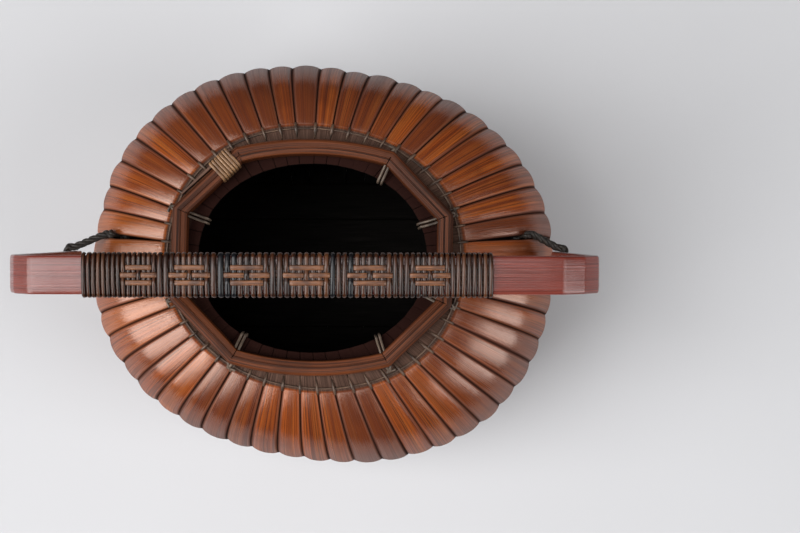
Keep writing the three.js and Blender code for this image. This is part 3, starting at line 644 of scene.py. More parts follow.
STRAND_RADIUS = 0.45 * MM
TIE_HALF_WIDTH = 0.7 * MM
TIE_HALF_HEIGHT = 0.42 * MM
TIE_TAIL_WIDTH = 0.38 * MM
STRAND_HEIGHT = NECK + 0.006
STRAND_LIFT = 0.2 * MM


def rattan(name, dark, light, stain):
    """Split rattan: fine pores along the strand, stained darker in places."""
    material, tree, shader = blank_material(name)
    fibre = streaks(tree, 14, 0.9, detail=6)
    cloud = patches(tree, 0.007)
    colour = mix(tree, span(tree, fibre, 0.35, 0.65), dark, light)
    colour = mix(tree, span(tree, cloud, 0.45, 0.65, 0, 0.8), colour, stain)
    tree.links.new(colour, shader.inputs["Base Color"])
    gloss(tree, shader, fibre, 0.32, 0.55, 0.35, 0.4)
    return material


GREY_RATTAN = rattan("grey_rattan", (0.03, 0.016, 0.01), (0.16, 0.095, 0.06), (0.017, 0.01, 0.007))
PALE_RATTAN = rattan("pale_rattan", (0.08, 0.034, 0.014), (0.33, 0.18, 0.085), (0.05, 0.02, 0.009))


def join(name, pieces):
    """Joins strands that are one piece of work into one object."""
    select_only(pieces[0])
    for piece in pieces:
        piece.select_set(True)
    bpy.ops.object.join()
    pieces[0].name = name
    pieces[0].data.name = name
    return pieces[0]


def strand_rings(points, ups, half_widths, half_height, sides=10, power=2.4):
    """Rings of a flat strand that lies with its back along the given directions."""
    rings = []
    for point, up, half_width, tangent in zip(points, ups, half_widths, tangents(points)):
        side = tangent.cross(up).normalized()
        rings.append(ellipse(point, side, side.cross(tangent), half_width, half_height, sides, power))
    return rings


def neck_tie(boundary):
    """One tie: out of the gap below the strand, over it, in along the gap and down at the mouth."""
    ring_top = 2 * STRAND_RADIUS + TIE_HALF_HEIGHT
    slack = chance.uniform(0.0, 0.25) * MM
    width = chance.uniform(0.85, 1.15)
    stations = (
        (-0.034, -RIB_DEPTH, TIE_HALF_WIDTH), (-0.03, -0.3 * MM, TIE_HALF_WIDTH),
        (-0.016, ring_top * 0.85, TIE_HALF_WIDTH), (0.006, ring_top + slack, TIE_HALF_WIDTH),
        (0.024, 0.6 * MM + slack, TIE_HALF_WIDTH), (0.034, 0.1 * MM, TIE_TAIL_WIDTH),
        (0.05, -0.3 * MM, TIE_TAIL_WIDTH), (0.055, -RIB_DEPTH, TIE_TAIL_WIDTH),
    )
    points, ups = [], []
    for shift, distance, _ in stations:
        share = boundary_share(boundary, NECK + shift)
        ups.append(body_normal(share, NECK + shift))
        points.append(body_point(share, NECK + shift) + ups[-1] * distance)
    widths = [half_width * width for _, _, half_width in stations]
    return roll_tube("neck_tie", strand_rings(points, ups, widths, TIE_HALF_HEIGHT, 8))


ring_rise = STRAND_RADIUS - PARED_DEPTH + STRAND_LIFT
neck_rings = neck_ring(STRAND_HEIGHT, ring_rise, STRAND_RADIUS, sides=8, steps_each=4)
neck_strand = roll_tube("neck_strand", neck_rings, closed=True)
neck_strands = [neck_strand, *(neck_tie(boundary) for boundary in range(RIB_COUNT))]
finish(join("neck_ties", neck_strands), GREY_RATTAN, 60, "basket", "neck_binding")


# Rim frame.
# One thick strip of bamboo, cut part way through at eight places and bent there into an eight-sided
# hoop. The kerfs close on the inside of each corner, and the outer skin bends round it unbroken.

RIM_LONG_HALF = 42 * MM
RIM_LONG_Y = 56 * MM
RIM_END_X = 73.5 * MM
RIM_END_HALF = 24 * MM
RIM_BOW = 5.5 * MM
RIM_SIDE_STEPS = 12
RIM_HALF_WIDTH = 4.25 * MM
RIM_TURN = math.radians(-1.3)
RIM_BOTTOM_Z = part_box("rim_frame")[0].z
RIM_TOP_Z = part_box("rim_frame")[1].z
RIM_HEIGHT = RIM_TOP_Z - RIM_BOTTOM_Z
RIM_FALL = 0.9 * MM
RIM_OUTER_ROUND = 2.2 * MM
RIM_INNER_ROUND = 1.0 * MM
RIM_ARC_STEPS = 5
GROOVE_PLACE = -0.8 * MM
GROOVE_HALF_WIDTH = 0.4 * MM
GROOVE_DEPTH = 0.4 * MM
KERF_HALF_WIDTH = 0.25 * MM
KERF_DEPTH = 3.0 * MM
KERF_END = 0.9 * MM
CORNER_STEPS = 6
LAP_INSET = 2.1 * MM
LASHING_TURNS = 7
LASHING_PITCH = 1.9 * MM
LASHING_RELIEF = 1.6 * MM
RELIEF_START = LAP_INSET - LASHING_PITCH
RELIEF_END = LAP_INSET + (LASHING_TURNS + 2) * LASHING_PITCH
RELIEF_STEP = LASHING_PITCH / 4


def rim_plan(x, y):
    return Matrix.Rotation(RIM_TURN, 2) @ Vector((x, y)) + Vector((MOUTH_SHIFT_X, 0))


RIM_CORNERS = [
    rim_plan(x, y) for x, y in (
        (-RIM_LONG_HALF, RIM_LONG_Y), (-RIM_END_X, RIM_END_HALF),
        (-RIM_END_X, -RIM_END_HALF), (-RIM_LONG_HALF, -RIM_LONG_Y),
        (RIM_LONG_HALF, -RIM_LONG_Y), (RIM_END_X, -RIM_END_HALF),
        (RIM_END_X, RIM_END_HALF), (RIM_LONG_HALF, RIM_LONG_Y))
]
BOWED_SIDES = (3, 7)


def outward_of(direction):
    return Vector((direction.y, -direction.x)).normalized()


def rim_profile():
    """Distance outwards and height of the frame's section, from the outer foot over the top."""
    def top(distance):
        return RIM_HEIGHT - RIM_FALL * (RIM_HALF_WIDTH - distance) / (2 * RIM_HALF_WIDTH)

    points = [(RIM_HALF_WIDTH, 0.0), (RIM_HALF_WIDTH, RIM_HEIGHT / 3)]
    for step in range(RIM_ARC_STEPS + 1):
        angle = math.pi / 2 * step / RIM_ARC_STEPS
        distance = RIM_HALF_WIDTH - RIM_OUTER_ROUND * (1 - math.cos(angle))
        points.append((distance, top(distance) - RIM_OUTER_ROUND * (1 - math.sin(angle))))
    points.append((KERF_END, top(KERF_END)))
    for step, depth in ((1, 0.0), (0.4, 1.0), (-0.4, 1.0), (-1, 0.0)):
        distance = GROOVE_PLACE + step * GROOVE_HALF_WIDTH
        points.append((distance, top(distance) - depth * GROOVE_DEPTH))
    for step in range(RIM_ARC_STEPS + 1):
        angle = math.pi / 2 * (1 - step / RIM_ARC_STEPS)
        distance = -RIM_HALF_WIDTH + RIM_INNER_ROUND * (1 - math.cos(angle))
        points.append((distance, top(distance) - RIM_INNER_ROUND * (1 - math.sin(angle))))
    return [*points, (-RIM_HALF_WIDTH, RIM_HEIGHT / 3), (-RIM_HALF_WIDTH, 0.0)]


RIM_PROFILE = rim_profile()


def rim_ring(point, outward, lift=0.0):
    ring = []
    for distance, height in RIM_PROFILE:
        plan = point + outward * distance
        ring.append(Vector((plan.x, plan.y, RIM_BOTTOM_Z + max(height, lift))))
    return ring


def corner_rings(before, corner, after):
    """Rings round one corner: the outside sweeps through the turn, the inside meets in a kerf."""
    ahead = (corner - before).normalized()
    onward = (after - corner).normalized()
    mitre = (outward_of(ahead) + outward_of(onward)).normalized()
    stretch = 1 / mitre.dot(outward_of(onward))
    pivot = corner + mitre * (KERF_END * stretch)
    rings = []
    for step in range(CORNER_STEPS + 1):
        part = step / CORNER_STEPS
        outward = outward_of(ahead).lerp(outward_of(onward), part).normalized()
        shift = (ahead if part < 0.5 else onward) * KERF_HALF_WIDTH * (2 * part - 1)
        ring = []
        for distance, height in RIM_PROFILE:
            plan = pivot + outward * (distance - KERF_END)
            sunk = 0.0
            if distance <= KERF_END:
                plan = corner + mitre * (distance * stretch) + shift
                if 0 < step < CORNER_STEPS:
                    sunk = KERF_DEPTH * min(1, 4 * smooth_step(KERF_END - distance, 0, RIM_HALF_WIDTH))
            ring.append(Vector((plan.x, plan.y, RIM_BOTTOM_Z + max(0.0, height - sunk))))
        rings.append(ring)
    return rings


def rim_side(index):
    """The middle line of one side of the frame, from its corner to the next."""
    corner, after = RIM_CORNERS[index], RIM_CORNERS[(index + 1) % len(RIM_CORNERS)]
    bow = RIM_BOW if index in BOWED_SIDES else 0.0
    parts = [step / RIM_SIDE_STEPS for step in range(RIM_SIDE_STEPS + 1)]
    outward = outward_of(after - corner)
    return [corner.lerp(after, part) + outward * (bow * 4 * part * (1 - part)) for part in parts]


def rim_rings():
    rings = []
    for index, corner in enumerate(RIM_CORNERS):
        line = rim_side(index)
        rings += corner_rings(rim_side(index - 1)[-2], corner, line[1])
        stations = [(point, 0.0) for point in line[1:-1]]
        if index == 0:
            along = (line[-1] - corner).normalized()
            ends = ((RELIEF_START, 0.0), (RELIEF_START + RELIEF_STEP, LASHING_RELIEF),
                    (RELIEF_END - RELIEF_STEP, LASHING_RELIEF), (RELIEF_END, 0.0))
            stations = [(corner + along * distance, lift) for distance, lift in ends]
        directions = tangents([corner, *(point for point, _ in stations), line[-1]])[1:-1]
        for (point, lift), direction in zip(stations, directions):
            rings.append(rim_ring(point, outward_of(direction), lift))
    return rings


def split_bamboo(name, dark, light, glow, stain, smooth, level):
    """Split bamboo along the grain: fibres, paler bands, dark lines and cloudy stains under lacquer."""
    material, tree, shader = blank_material(name)
    colour, fibre = grain(tree, dark, light, glow, stain)
    tree.links.new(colour, shader.inputs["Base Color"])
    gloss(tree, shader, fibre, smooth, smooth + 0.2, level, 0.4)
    return material


RIM_BAMBOO = split_bamboo(
    "rim_bamboo", dark=(0.028, 0.0075, 0.0032), light=(0.112, 0.03, 0.0092),
    glow=(0.16, 0.047, 0.017), stain=(0.012, 0.0045, 0.0026), smooth=0.34, level=0.12)
rim_hoop = roll_tube("rim_hoop", rim_rings(), closed=True)
finish(rim_hoop, RIM_BAMBOO, 40, "basket", "rim_frame")


# Rim lap.
# The thin end of the frame's strip laps past the join on the outside. It is a flat sliver of the same
# bamboo with its edges eased, held by the lashing.

LAP_THICKNESS = 2 * MM
LAP_LENGTH = 36 * MM
LAP_STEPS = 12
LAP_TAPER = 0.45
LAP_FALL = 0.2
lap_along = (RIM_CORNERS[1] - RIM_CORNERS[0]).normalized()
lap_outward = outward_of(lap_along)
lap_bottom_z = RIM_BOTTOM_Z + LASHING_RELIEF
lap_top_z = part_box("rim_lap")[1].z


def lap_place(distance, outwards, z):
    plan = RIM_CORNERS[0] + lap_along * distance + lap_outward * outwards
    return Vector((plan.x, plan.y, z))


def lap_rings():
    rings = []
    outer = RIM_HALF_WIDTH + CLEARANCE + LAP_THICKNESS
    for step in range(LAP_STEPS + 1):
        part = step / LAP_STEPS
        half_thickness = LAP_THICKNESS * (1 - LAP_TAPER * part) / 2
        half_height = (lap_top_z - lap_bottom_z) / 2 * (1 - LAP_FALL * part)
        distance = LAP_INSET + LAP_LENGTH * part
        centre = lap_place(distance, outer - half_thickness, lap_top_z - half_height)
        side, up = lap_outward.to_3d(), Vector((0, 0, 1))
        rings.append(ellipse(centre, side, up, half_thickness, half_height, sides=16, power=6))
    return rings


LAP_BAMBOO = split_bamboo(
    "lap_bamboo", dark=(0.05, 0.021, 0.012), light=(0.16, 0.08, 0.05),
    glow=(0.2, 0.11, 0.07), stain=(0.028, 0.014, 0.008), smooth=0.45, level=0.25)
finish(roll_tube("rim_lap_end", lap_rings()), LAP_BAMBOO, 50, "basket", "rim_lap")


# Rim lashing.
# Seven close turns of pale split rattan round the frame and its lap, one unbroken strand laid with its
# round side out.

LASHING_HALF_WIDTH = 0.82 * MM
LASHING_HALF_HEIGHT = 0.52 * MM
LASHING_BEND = 1.6 * MM
BEND_STEPS = 4


def lashing_section():
    """Stations round the frame and the lap: distance outwards, height and the way that faces out."""
    gap = CLEARANCE + LASHING_HALF_HEIGHT
    inner = LASHING_BEND - RIM_HALF_WIDTH - gap
    outer = RIM_HALF_WIDTH + CLEARANCE + LAP_THICKNESS + gap - LASHING_BEND
    bottom = lap_bottom_z - gap + LASHING_BEND
    top = RIM_TOP_Z + gap - LASHING_BEND
    corners = ((outer, bottom, -90), (outer, top, 0), (inner, top, 90), (inner, bottom, 180))
    stations = []
    for across, z, start in corners:
        for step in range(BEND_STEPS + 1):
            angle = math.radians(start + 90 * step / BEND_STEPS)
            facing = (math.cos(angle), math.sin(angle))
            stations.append((across + LASHING_BEND * facing[0], z + LASHING_BEND * facing[1], facing))
    return stations


def lashing_rings():
    section = lashing_section()
    count = len(section)
    points, ups = [], []
    for index in range(count * LASHING_TURNS + 1):
        across, z, facing = section[index % count]
        points.append(lap_place(LAP_INSET + LASHING_PITCH * (index / count + 0.5), across, z))
        ups.append((lap_outward * facing[0]).to_3d() + Vector((0, 0, facing[1])))
    widths = [LASHING_HALF_WIDTH] * len(points)
    return strand_rings(points, ups, widths, LASHING_HALF_HEIGHT, sides=10, power=2.2)


lashing_strand = roll_tube("rim_lashing_strand", lashing_rings())
finish(lashing_strand, PALE_RATTAN, 60, "basket", "rim_lashing")


# Corner ties.
# At each of the other corners two strands of pale rattan come in through a slot in the frame and round
# the cut ends of the ribs. Outside, their ends are twisted together and cut off short.

CORNER_STRAND = 0.75 * MM
STRAND_PITCH = 2.2 * MM
TIE_RATTAN = rattan("tie_rattan", (0.04, 0.028, 0.02), (0.18, 0.13, 0.095), (0.024, 0.016, 0.011))
TIE_TUCK = 4 * MM
TIE_Z = (RIM_BOTTOM_Z + RIM_TOP_Z) / 2
TIE_ABOVE = 0.9 * MM
TIE_BELOW = 2.6 * MM
HALVINGS = 40
ODD_SIDE = Vector((0.36, 0.48, 0.8))


def distance_to_mouth(point, inward):
    """How far the cut ends of the ribs lie from a point of the rim, looking inwards."""
    centre = Vector((MOUTH_SHIFT_X, 0))
    near, far = 0.0, (point - centre).length
    for _ in range(HALVINGS):
        middle = (near + far) / 2
        probe = point + inward * middle - centre
        measure = abs(probe.x / MOUTH_HALF_X) ** MOUTH_POWER + abs(probe.y / MOUTH_HALF_Y) ** MOUTH_POWER
        near, far = (middle, far) if measure > 1 else (near, middle)
    return far


def curve_through(points, steps):
    """Points of a smooth curve through a few chosen ones."""
    ends = [points[0] * 2 - points[1], *points, points[-1] * 2 - points[-2]]
    found = []
    for before, start, end, after in zip(ends, ends[1:], ends[2:], ends[3:]):
        for step in range(steps):
            part = step / steps
            smooth = (start * 2 + (end - before) * part
                      + (before * 2 - start * 5 + end * 4 - after) * part ** 2
                      + (start * 3 - before - end * 3 + after) * part ** 3)
            found.append(smooth / 2)
    return [*found, points[-1]]


def round_strand(name, points, radii, sides=8):
    """A round strand along a route, carried from point to point without twisting."""
    side = ODD_SIDE
    rings = []
    for point, radius, tangent in zip(points, radii, tangents(points)):
        side = (side - tangent * side.dot(tangent)).normalized()
        rings.append(ellipse(point, side, tangent.cross(side), radius, radius, sides))
    return roll_tube(name, rings)


def corner_tie(number):
    """Two strands from outside the frame through its slot, over the rib ends and back below them."""
    corner = RIM_CORNERS[number]
    before = RIM_CORNERS[number - 1]
    after = RIM_CORNERS[(number + 1) % len(RIM_CORNERS)]
    outward = (outward_of(corner - before) + outward_of(after - corner)).normalized()
    sideways = Vector((-outward.y, outward.x))
    reach = RIM_HALF_WIDTH / outward.dot(outward_of(after - corner))
    rib_end = -distance_to_mouth(corner, -outward)
    over_ribs = MOUTH_Z + CORNER_STRAND + TIE_ABOVE
    under_ribs = MOUTH_Z - RIB_DEPTH - TIE_BELOW
    past_ribs = rib_end - CLEARANCE - CORNER_STRAND
    slant = chance.uniform(-1.5, 1.5) * MM
    hook = chance.uniform(0.5, 1.5) * MM

    def place(distance, shift, z):
        return (corner + outward * distance + sideways * shift).to_3d() + Vector((0, 0, z))

    strands = []
    for sign in (-1, 1):
        shift = sign * STRAND_PITCH / 2
        route = [
            place(reach + 2.3 * MM, 2.2 * shift + hook, RIM_BOTTOM_Z + 0.4 * MM),
            place(reach + 2.1 * MM, -0.6 * shift, RIM_BOTTOM_Z + 1.4 * MM),
            place(reach + 0.9 * MM, 0.4 * shift, TIE_Z - 0.6 * MM),
            place(reach - 1.5 * MM, shift, TIE_Z),
            place(-reach, shift, TIE_Z),
            place(rib_end + 1.5 * MM, shift + 0.7 * slant, over_ribs + 0.5 * MM),
            place(rib_end, shift + slant, over_ribs),
            place(past_ribs, shift + slant, over_ribs - 1.4 * MM),
            place(past_ribs, shift + slant, under_ribs + CORNER_STRAND),
            place(rib_end + TIE_TUCK, shift + slant, under_ribs),
        ]
        points = curve_through(route, 4)
        strands.append(round_strand("strand", points, [CORNER_STRAND] * len(points)))
    tie = join(f"corner_strands_{number}", strands)
    finish(tie, TIE_RATTAN, 60, "basket", f"corner_tie_{number}")


for number in range(1, len(RIM_CORNERS)):
    corner_tie(number)


# Handle strip.
# One flat length of bamboo bent into an arch, each corner in three kinks. It is lacquered red-brown,
# shows bare at both ends of the bar, and its legs stand beside the shoulder, tied on by their feet.

PIVOT = Vector((0, -4.5, 153)) * MM
HANDLE_LEAN = math.radians(5)
HANDLE_HALF_WIDTH = 9 * MM
HANDLE_HALF_THICKNESS = 2.25 * MM
HANDLE_TOP_Z = 278 * MM
BAR_Z = HANDLE_TOP_Z - PIVOT.z - HANDLE_HALF_THICKNESS
LEG_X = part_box("handle_strip")[1].x - HANDLE_HALF_THICKNESS
LEG_FOOT = 6 * MM
LEFT_FACETS = ((11.0 * MM, 40), (8.5 * MM, 63))
RIGHT_FACETS = ((11.6 * MM, 30), (11.6 * MM, 47))
KINK_RADIUS = 3.5 * MM
KINK_STEPS = 4
LONGEST_STEP = 9 * MM
HANDLE_FRAME = Matrix.Translation(PIVOT) @ Matrix.Rotation(HANDLE_LEAN, 4, "X")


def rounded_route(points, radius, steps):
    """A route in the handle's plane with its corners rounded."""
    route = [points[0]]
    for before, point, after in zip(points, points[1:], points[2:]):
        back = (before - point).normalized()
        ahead = (after - point).normalized()
        half = back.angle(ahead) / 2
        cut = radius / math.tan(half)
        centre = point + (back + ahead).normalized() * (radius / math.sin(half))
        start, end = point + back * cut - centre, point + ahead * cut - centre
        turn = start.angle_signed(end)
        route += [centre + Matrix.Rotation(-turn * step / steps, 2) @ start for step in range(steps + 1)]
    return [*route, points[-1]]


def handle_side(facets):
    """From the bar's end round the right corner by three kinks and down to the foot."""
    reach = sum(length * math.cos(math.radians(slope)) for length, slope in facets)
    points = [Vector((LEG_X - reach, BAR_Z))]
    for length, slope in facets:
        step = Vector((math.cos(math.radians(slope)), -math.sin(math.radians(slope)))) * length
        points.append(points[-1] + step)
    return [*points, Vector((LEG_X, -LEG_FOOT))]


def handle_route():
    """Up the left leg, round the corner, along the bar and down again."""
    left = [Vector((-point.x, point.y)) for point in reversed(handle_side(LEFT_FACETS))]
    corners = rounded_route([*left, *handle_side(RIGHT_FACETS)], KINK_RADIUS, KINK_STEPS)
    route = [corners[0]]
    for before, after in zip(corners, corners[1:]):
        count = max(1, math.ceil((after - before).length / LONGEST_STEP))
        route += [before.lerp(after, step / count) for step in range(1, count + 1)]
    return route


def handle_rings():
    route = handle_route()
    rings = []
    for point, tangent in zip(route, tangents(route)):
        up = Vector((-tangent.y, 0, tangent.x))
        centre, side = Vector((point.x, 0, point.y)), Vector((0, 1, 0))
        halves = HANDLE_HALF_WIDTH, HANDLE_HALF_THICKNESS
        rings.append(ellipse(centre, side, up, *halves, sides=36, power=7))
    return rings


HANDLE_BAMBOO = split_bamboo(
    "handle_bamboo", dark=(0.1, 0.014, 0.009), light=(0.17, 0.032, 0.021),
    glow=(0.19, 0.042, 0.028), stain=(0.075, 0.011, 0.006), smooth=0.15, level=0.5)
handle_arch = roll_tube("handle_arch", handle_rings())
handle_arch.data.transform(HANDLE_FRAME)
finish(handle_arch, HANDLE_BAMBOO, 40, "handle", "handle_strip")


# Handle winding.
# Seventy turns of flat rattan round the middle of the arch, over three narrow strips laid along it.
# In six small block figures the strips come up over the turns: the outer two float over five turns,
# the middle one over seven with one turn crossing it.

WINDING_LEFT = -102 * MM
WINDING_RIGHT = 87 * MM
# Each figure's middle and the pitch of its turns, and each dark stretch, are in millimetres.
FIGURES = ((-75.8, 2.34), (-52.6, 2.66), (-26.5, 2.94), (0.9, 3.03), (30.0, 2.94), (57.7, 2.66))
PLAIN_TURNS = (8, 2, 2, 2, 3, 3, 8)
DARK_STRETCHES = ((-41, -30), (10, 14.5), (19, 22))
MIDDLE_FLOAT = 3
OUTER_FLOAT = 2
TURN_SHARE = 0.42
TURN_HALF_HEIGHT = 0.75 * MM
TURN_EASE = 0.05 * MM
EDGE_RADIUS = 1.7 * MM
EDGE_STEPS = 4
CLIMB_STATIONS = 6
LAST_STATIONS = 3
TURN_LEAN = 0.2 * MM
INLAY_PITCH = 3.5 * MM
INLAY_HALF_WIDTH = 1.2 * MM
INLAY_HALF_HEIGHT = 0.4 * MM


def lay_turns():
    """Each turn's middle, its width and its place in a figure, which is None in the plain stretches."""
    turns = []

    def add_plain(left, right, count):
        width = (right - left) / count
        turns.extend((left + width * (step + 0.5), width, None) for step in range(count))

    left = WINDING_LEFT
    for (centre, pitch), count in zip(FIGURES, PLAIN_TURNS):
        reach = (MIDDLE_FLOAT + 0.5) * pitch * MM
        add_plain(left, centre * MM - reach, count)
        for place in range(-MIDDLE_FLOAT, MIDDLE_FLOAT + 1):
            turns.append(((centre + place * pitch) * MM, pitch * MM, abs(place)))
        left = centre * MM + reach
    add_plain(left, WINDING_RIGHT, PLAIN_TURNS[-1])
    return turns


TURNS = lay_turns()


def floats_over(inlay, place):
    """Whether an inlaid strip lies over a turn at that place of a figure."""
    if place is None:
        return False
    return 0 < place <= MIDDLE_FLOAT if inlay == 1 else place <= OUTER_FLOAT


def winding_section(place):
    """Stations round the handle for one turn: place across, height over the bar and outward facing."""
    gap = TURN_HALF_HEIGHT + TURN_EASE
    half_width = HANDLE_HALF_WIDTH + gap
    flat = HANDLE_HALF_THICKNESS + gap
    top = []
    for inlay in (2, 1, 0):
        raised = 0.0 if floats_over(inlay, place) else 2 * INLAY_HALF_HEIGHT
        y = (inlay - 1) * INLAY_PITCH
        top += [(y + part * INLAY_HALF_WIDTH, flat + raised, (0.0, 1.0)) for part in (0.7, -0.7)]
    right = []
    for step in range(EDGE_STEPS + 1):
        angle = math.pi / 2 * step / EDGE_STEPS
        facing = (math.cos(angle), math.sin(angle))
        bend = half_width - EDGE_RADIUS * (1 - facing[0])
        right.append((bend, flat - EDGE_RADIUS * (1 - facing[1]), facing))
    left = [(-across, rise, (-facing[0], facing[1])) for across, rise, facing in reversed(right)]
    under = [(part * (half_width - EDGE_RADIUS), -flat, (0.0, -1.0)) for part in (-1, -0.5, 0, 0.5, 1)]
    low_left = (-half_width, EDGE_RADIUS - flat, (-1.0, 0.0))
    low_right = (half_width, EDGE_RADIUS - flat, (1.0, 0.0))
    return [*right, *top, *left, low_left, *under, low_right]


def winding_rings():
    """The winding climbs to its next turn under the bar, so its turns lie square across the top."""
    points, ups, widths = [], [], []
    for turn, (middle, width, place) in enumerate(TURNS):
        last = turn == len(TURNS) - 1
        onward = middle if last else TURNS[turn + 1][0]
        section = winding_section(place)
        climb_from = len(section) - CLIMB_STATIONS
        lean = chance.uniform(-TURN_LEAN, TURN_LEAN)
        stations = section[:climb_from + LAST_STATIONS] if last else section
        for index, (across, rise, facing) in enumerate(stations):
            climb = max(0.0, (index - climb_from) / CLIMB_STATIONS)
            x = middle + (onward - middle) * climb + lean * across / HANDLE_HALF_WIDTH * (1 - climb)
            points.append(Vector((x, across, BAR_Z + rise)))
            ups.append(Vector((0, *facing)))
            widths.append(width * TURN_SHARE)
    return strand_rings(points, ups, widths, TURN_HALF_HEIGHT, sides=12, power=1.8)


def stained_rattan():
    """Dark lacquered rattan whose turns differ in tone and darken where they meet, as painted shade in
    the gaps between turns.
    """
    material, tree, shader = blank_material("dark_rattan")
    fibre = streaks(tree, 12, 0.6, detail=6)
    tone = value_of(tree, "turn_tone")
    colour = mix(tree, span(tree, fibre, 0.38, 0.62), (0.011, 0.0034, 0.0014), (0.062, 0.02, 0.0078))
    cloud = patches(tree, 0.008)
    colour = mix(tree, span(tree, cloud, 0.45, 0.65, 0, 0.7), colour, (0.01, 0.0045, 0.003))
    colour = mix(tree, span(tree, tone, 0.3, 0.0, 0, 0.95), colour, (0.0042, 0.0049, 0.0063))
    colour = mix(tree, span(tree, tone, 0.65, 1.0, 0, 0.7), colour, (0.09, 0.033, 0.013))
    # Each turn goes near black towards its edges: painted shade in the gaps where the turns meet.
    edge = value_of(tree, "turn_edge")
    colour = mix(tree, span(tree, edge, 0.45, 0.95, 0, 0.95), colour, (0.002, 0.001, 0.0006))
    tree.links.new(colour, shader.inputs["Base Color"])
    gloss(tree, shader, fibre, 0.2, 0.34, 0.3, 0.35)
    tree.links.new(span(tree, edge, 0.55, 0.95, 0.3, 0.02), shader.inputs["Specular IOR Level"])
    return material


turn_tone = [0.25 + 0.75 * chance.random() for _ in TURNS]
for turn, (middle, _, _) in enumerate(TURNS):
    if any(left * MM < middle < right * MM for left, right in DARK_STRETCHES):
        turn_tone[turn] = 0.0
turn_edges = [middle - width / 2 for middle, width, _ in TURNS]
handle_turns = roll_tube("handle_turns", winding_rings())
turn_of = [max(0, bisect.bisect(turn_edges, vertex.co.x) - 1) for vertex in handle_turns.data.vertices]
set_values(handle_turns, "turn_tone", [turn_tone[turn] for turn in turn_of])
turn_edge = []
for vertex, turn in zip(handle_turns.data.vertices, turn_of):
    middle, width, _ = TURNS[turn]
    turn_edge.append(abs(vertex.co.x - middle) / (width * TURN_SHARE))
set_values(handle_turns, "turn_edge", turn_edge)
handle_turns.data.transform(HANDLE_FRAME)
finish(handle_turns, stained_rattan(), 60, "handle", "handle_winding")


# Handle inlays.
# Three narrow strips of paler rattan laid along the arch. They dive under the turns of the winding and
# come up over them in each figure.

INLAY_EDGE = 0.25


def inlay_rings(inlay):
    under = HANDLE_HALF_THICKNESS + INLAY_HALF_HEIGHT + TURN_EASE
    over = HANDLE_HALF_THICKNESS + 2 * TURN_HALF_HEIGHT + INLAY_HALF_HEIGHT + 3 * TURN_EASE
    y = (inlay - 1) * INLAY_PITCH
    points = [Vector((WINDING_LEFT, y, BAR_Z + under))]
    for middle, width, place in TURNS:
        level = over if floats_over(inlay, place) else under
        for part in (-INLAY_EDGE, 0, INLAY_EDGE):
            points.append(Vector((middle + width * part, y, BAR_Z + level)))
    points.append(Vector((WINDING_RIGHT, y, BAR_Z + under)))
    widths = [INLAY_HALF_WIDTH] * len(points)
    ups = [Vector((0, 0, 1))] * len(points)
    return strand_rings(points, ups, widths, INLAY_HALF_HEIGHT, sides=12, power=3)


INLAY_RATTAN = rattan("inlay_rattan", (0.07, 0.024, 0.01), (0.2, 0.078, 0.03), (0.045, 0.017, 0.009))
for inlay in range(3):
    strip = roll_tube(f"handle_woven_strip_{inlay + 1}", inlay_rings(inlay))
    strip.data.transform(HANDLE_FRAME)
    finish(strip, INLAY_RATTAN, 60, "handle", f"handle_inlay_{inlay + 1}")


# Tie cords.
# A dark cord of three twisted strands on each side: knotted inside the body, out between two ribs,
# round the handle's leg and back in two ribs further on.

CORD_RADIUS = 2.3 * MM
CORD_REST = 1.45
CORD_STRANDS = 3
CORD_LAY = 13 * MM
CORD_KNOT = 3 * MM
CORD_STEPS = 10
STRAND_OFFSET = 0.5
STRAND_SHARE = 0.5
PINCH = 0.4 * CORD_SLIT


def cord_side(boundary, side_x, side_y):
    """Half of a cord's route with its half widths: from its knot inside to the front of the leg."""
    share = boundary / RIB_COUNT
    entry = body_point(share, CORD_ENTRY)
    normal = body_normal(share, CORD_ENTRY)
    rest = body_point(share, CORD_REST) + body_normal(share, CORD_REST) * (CORD_RADIUS + 3 * CLEARANCE)
    knot = RIB_DEPTH + CLEARANCE + CORD_KNOT
    reach = CORD_RADIUS + 1.2 * CLEARANCE
    face = LEG_X + HANDLE_HALF_THICKNESS
    corner = reach * math.sqrt(0.5)

    def round_leg(outwards, along):
        return Vector((side_x * outwards, PIVOT.y + side_y * along, PIVOT.z)), CORD_RADIUS

    return [
        (entry - normal * (knot + CORD_KNOT), CORD_KNOT / 2),
        (entry - normal * knot, CORD_KNOT),
        (entry - normal * RIB_DEPTH, PINCH),
        (entry + normal * 2 * CLEARANCE, PINCH),
        (entry + normal * (CORD_RADIUS + 3 * CLEARANCE), CORD_RADIUS),
        (rest, CORD_RADIUS),
        round_leg(LEG_X, HANDLE_HALF_WIDTH + reach),
        round_leg(face + corner, HANDLE_HALF_WIDTH + corner),
        round_leg(face + reach, HANDLE_HALF_WIDTH / 2),
    ]


def lay_cord(name, stations):
    """Strands twisted round a route, thinner where the cord is pinched."""
    route = curve_through([point for point, _ in stations], CORD_STEPS)
    widths = []
    for index in range(len(route)):
        lower = min(index // CORD_STEPS, len(stations) - 2)
        part = index / CORD_STEPS - lower
        widths.append(stations[lower][1] * (1 - part) + stations[lower + 1][1] * part)
    strands = []
    for strand in range(CORD_STRANDS):
        side = ODD_SIDE
        points = []
        for point, tangent, width, length in zip(route, tangents(route), widths, lengths_along(route)):
            side = (side - tangent * side.dot(tangent)).normalized()
            angle = math.tau * (strand / CORD_STRANDS + length / CORD_LAY)
            offset = side * math.cos(angle) + tangent.cross(side) * math.sin(angle)
            points.append(point + offset * (width * STRAND_OFFSET))
        strands.append(round_strand("cord_strand", points, [width * STRAND_SHARE for width in widths]))
    return join(name, strands)


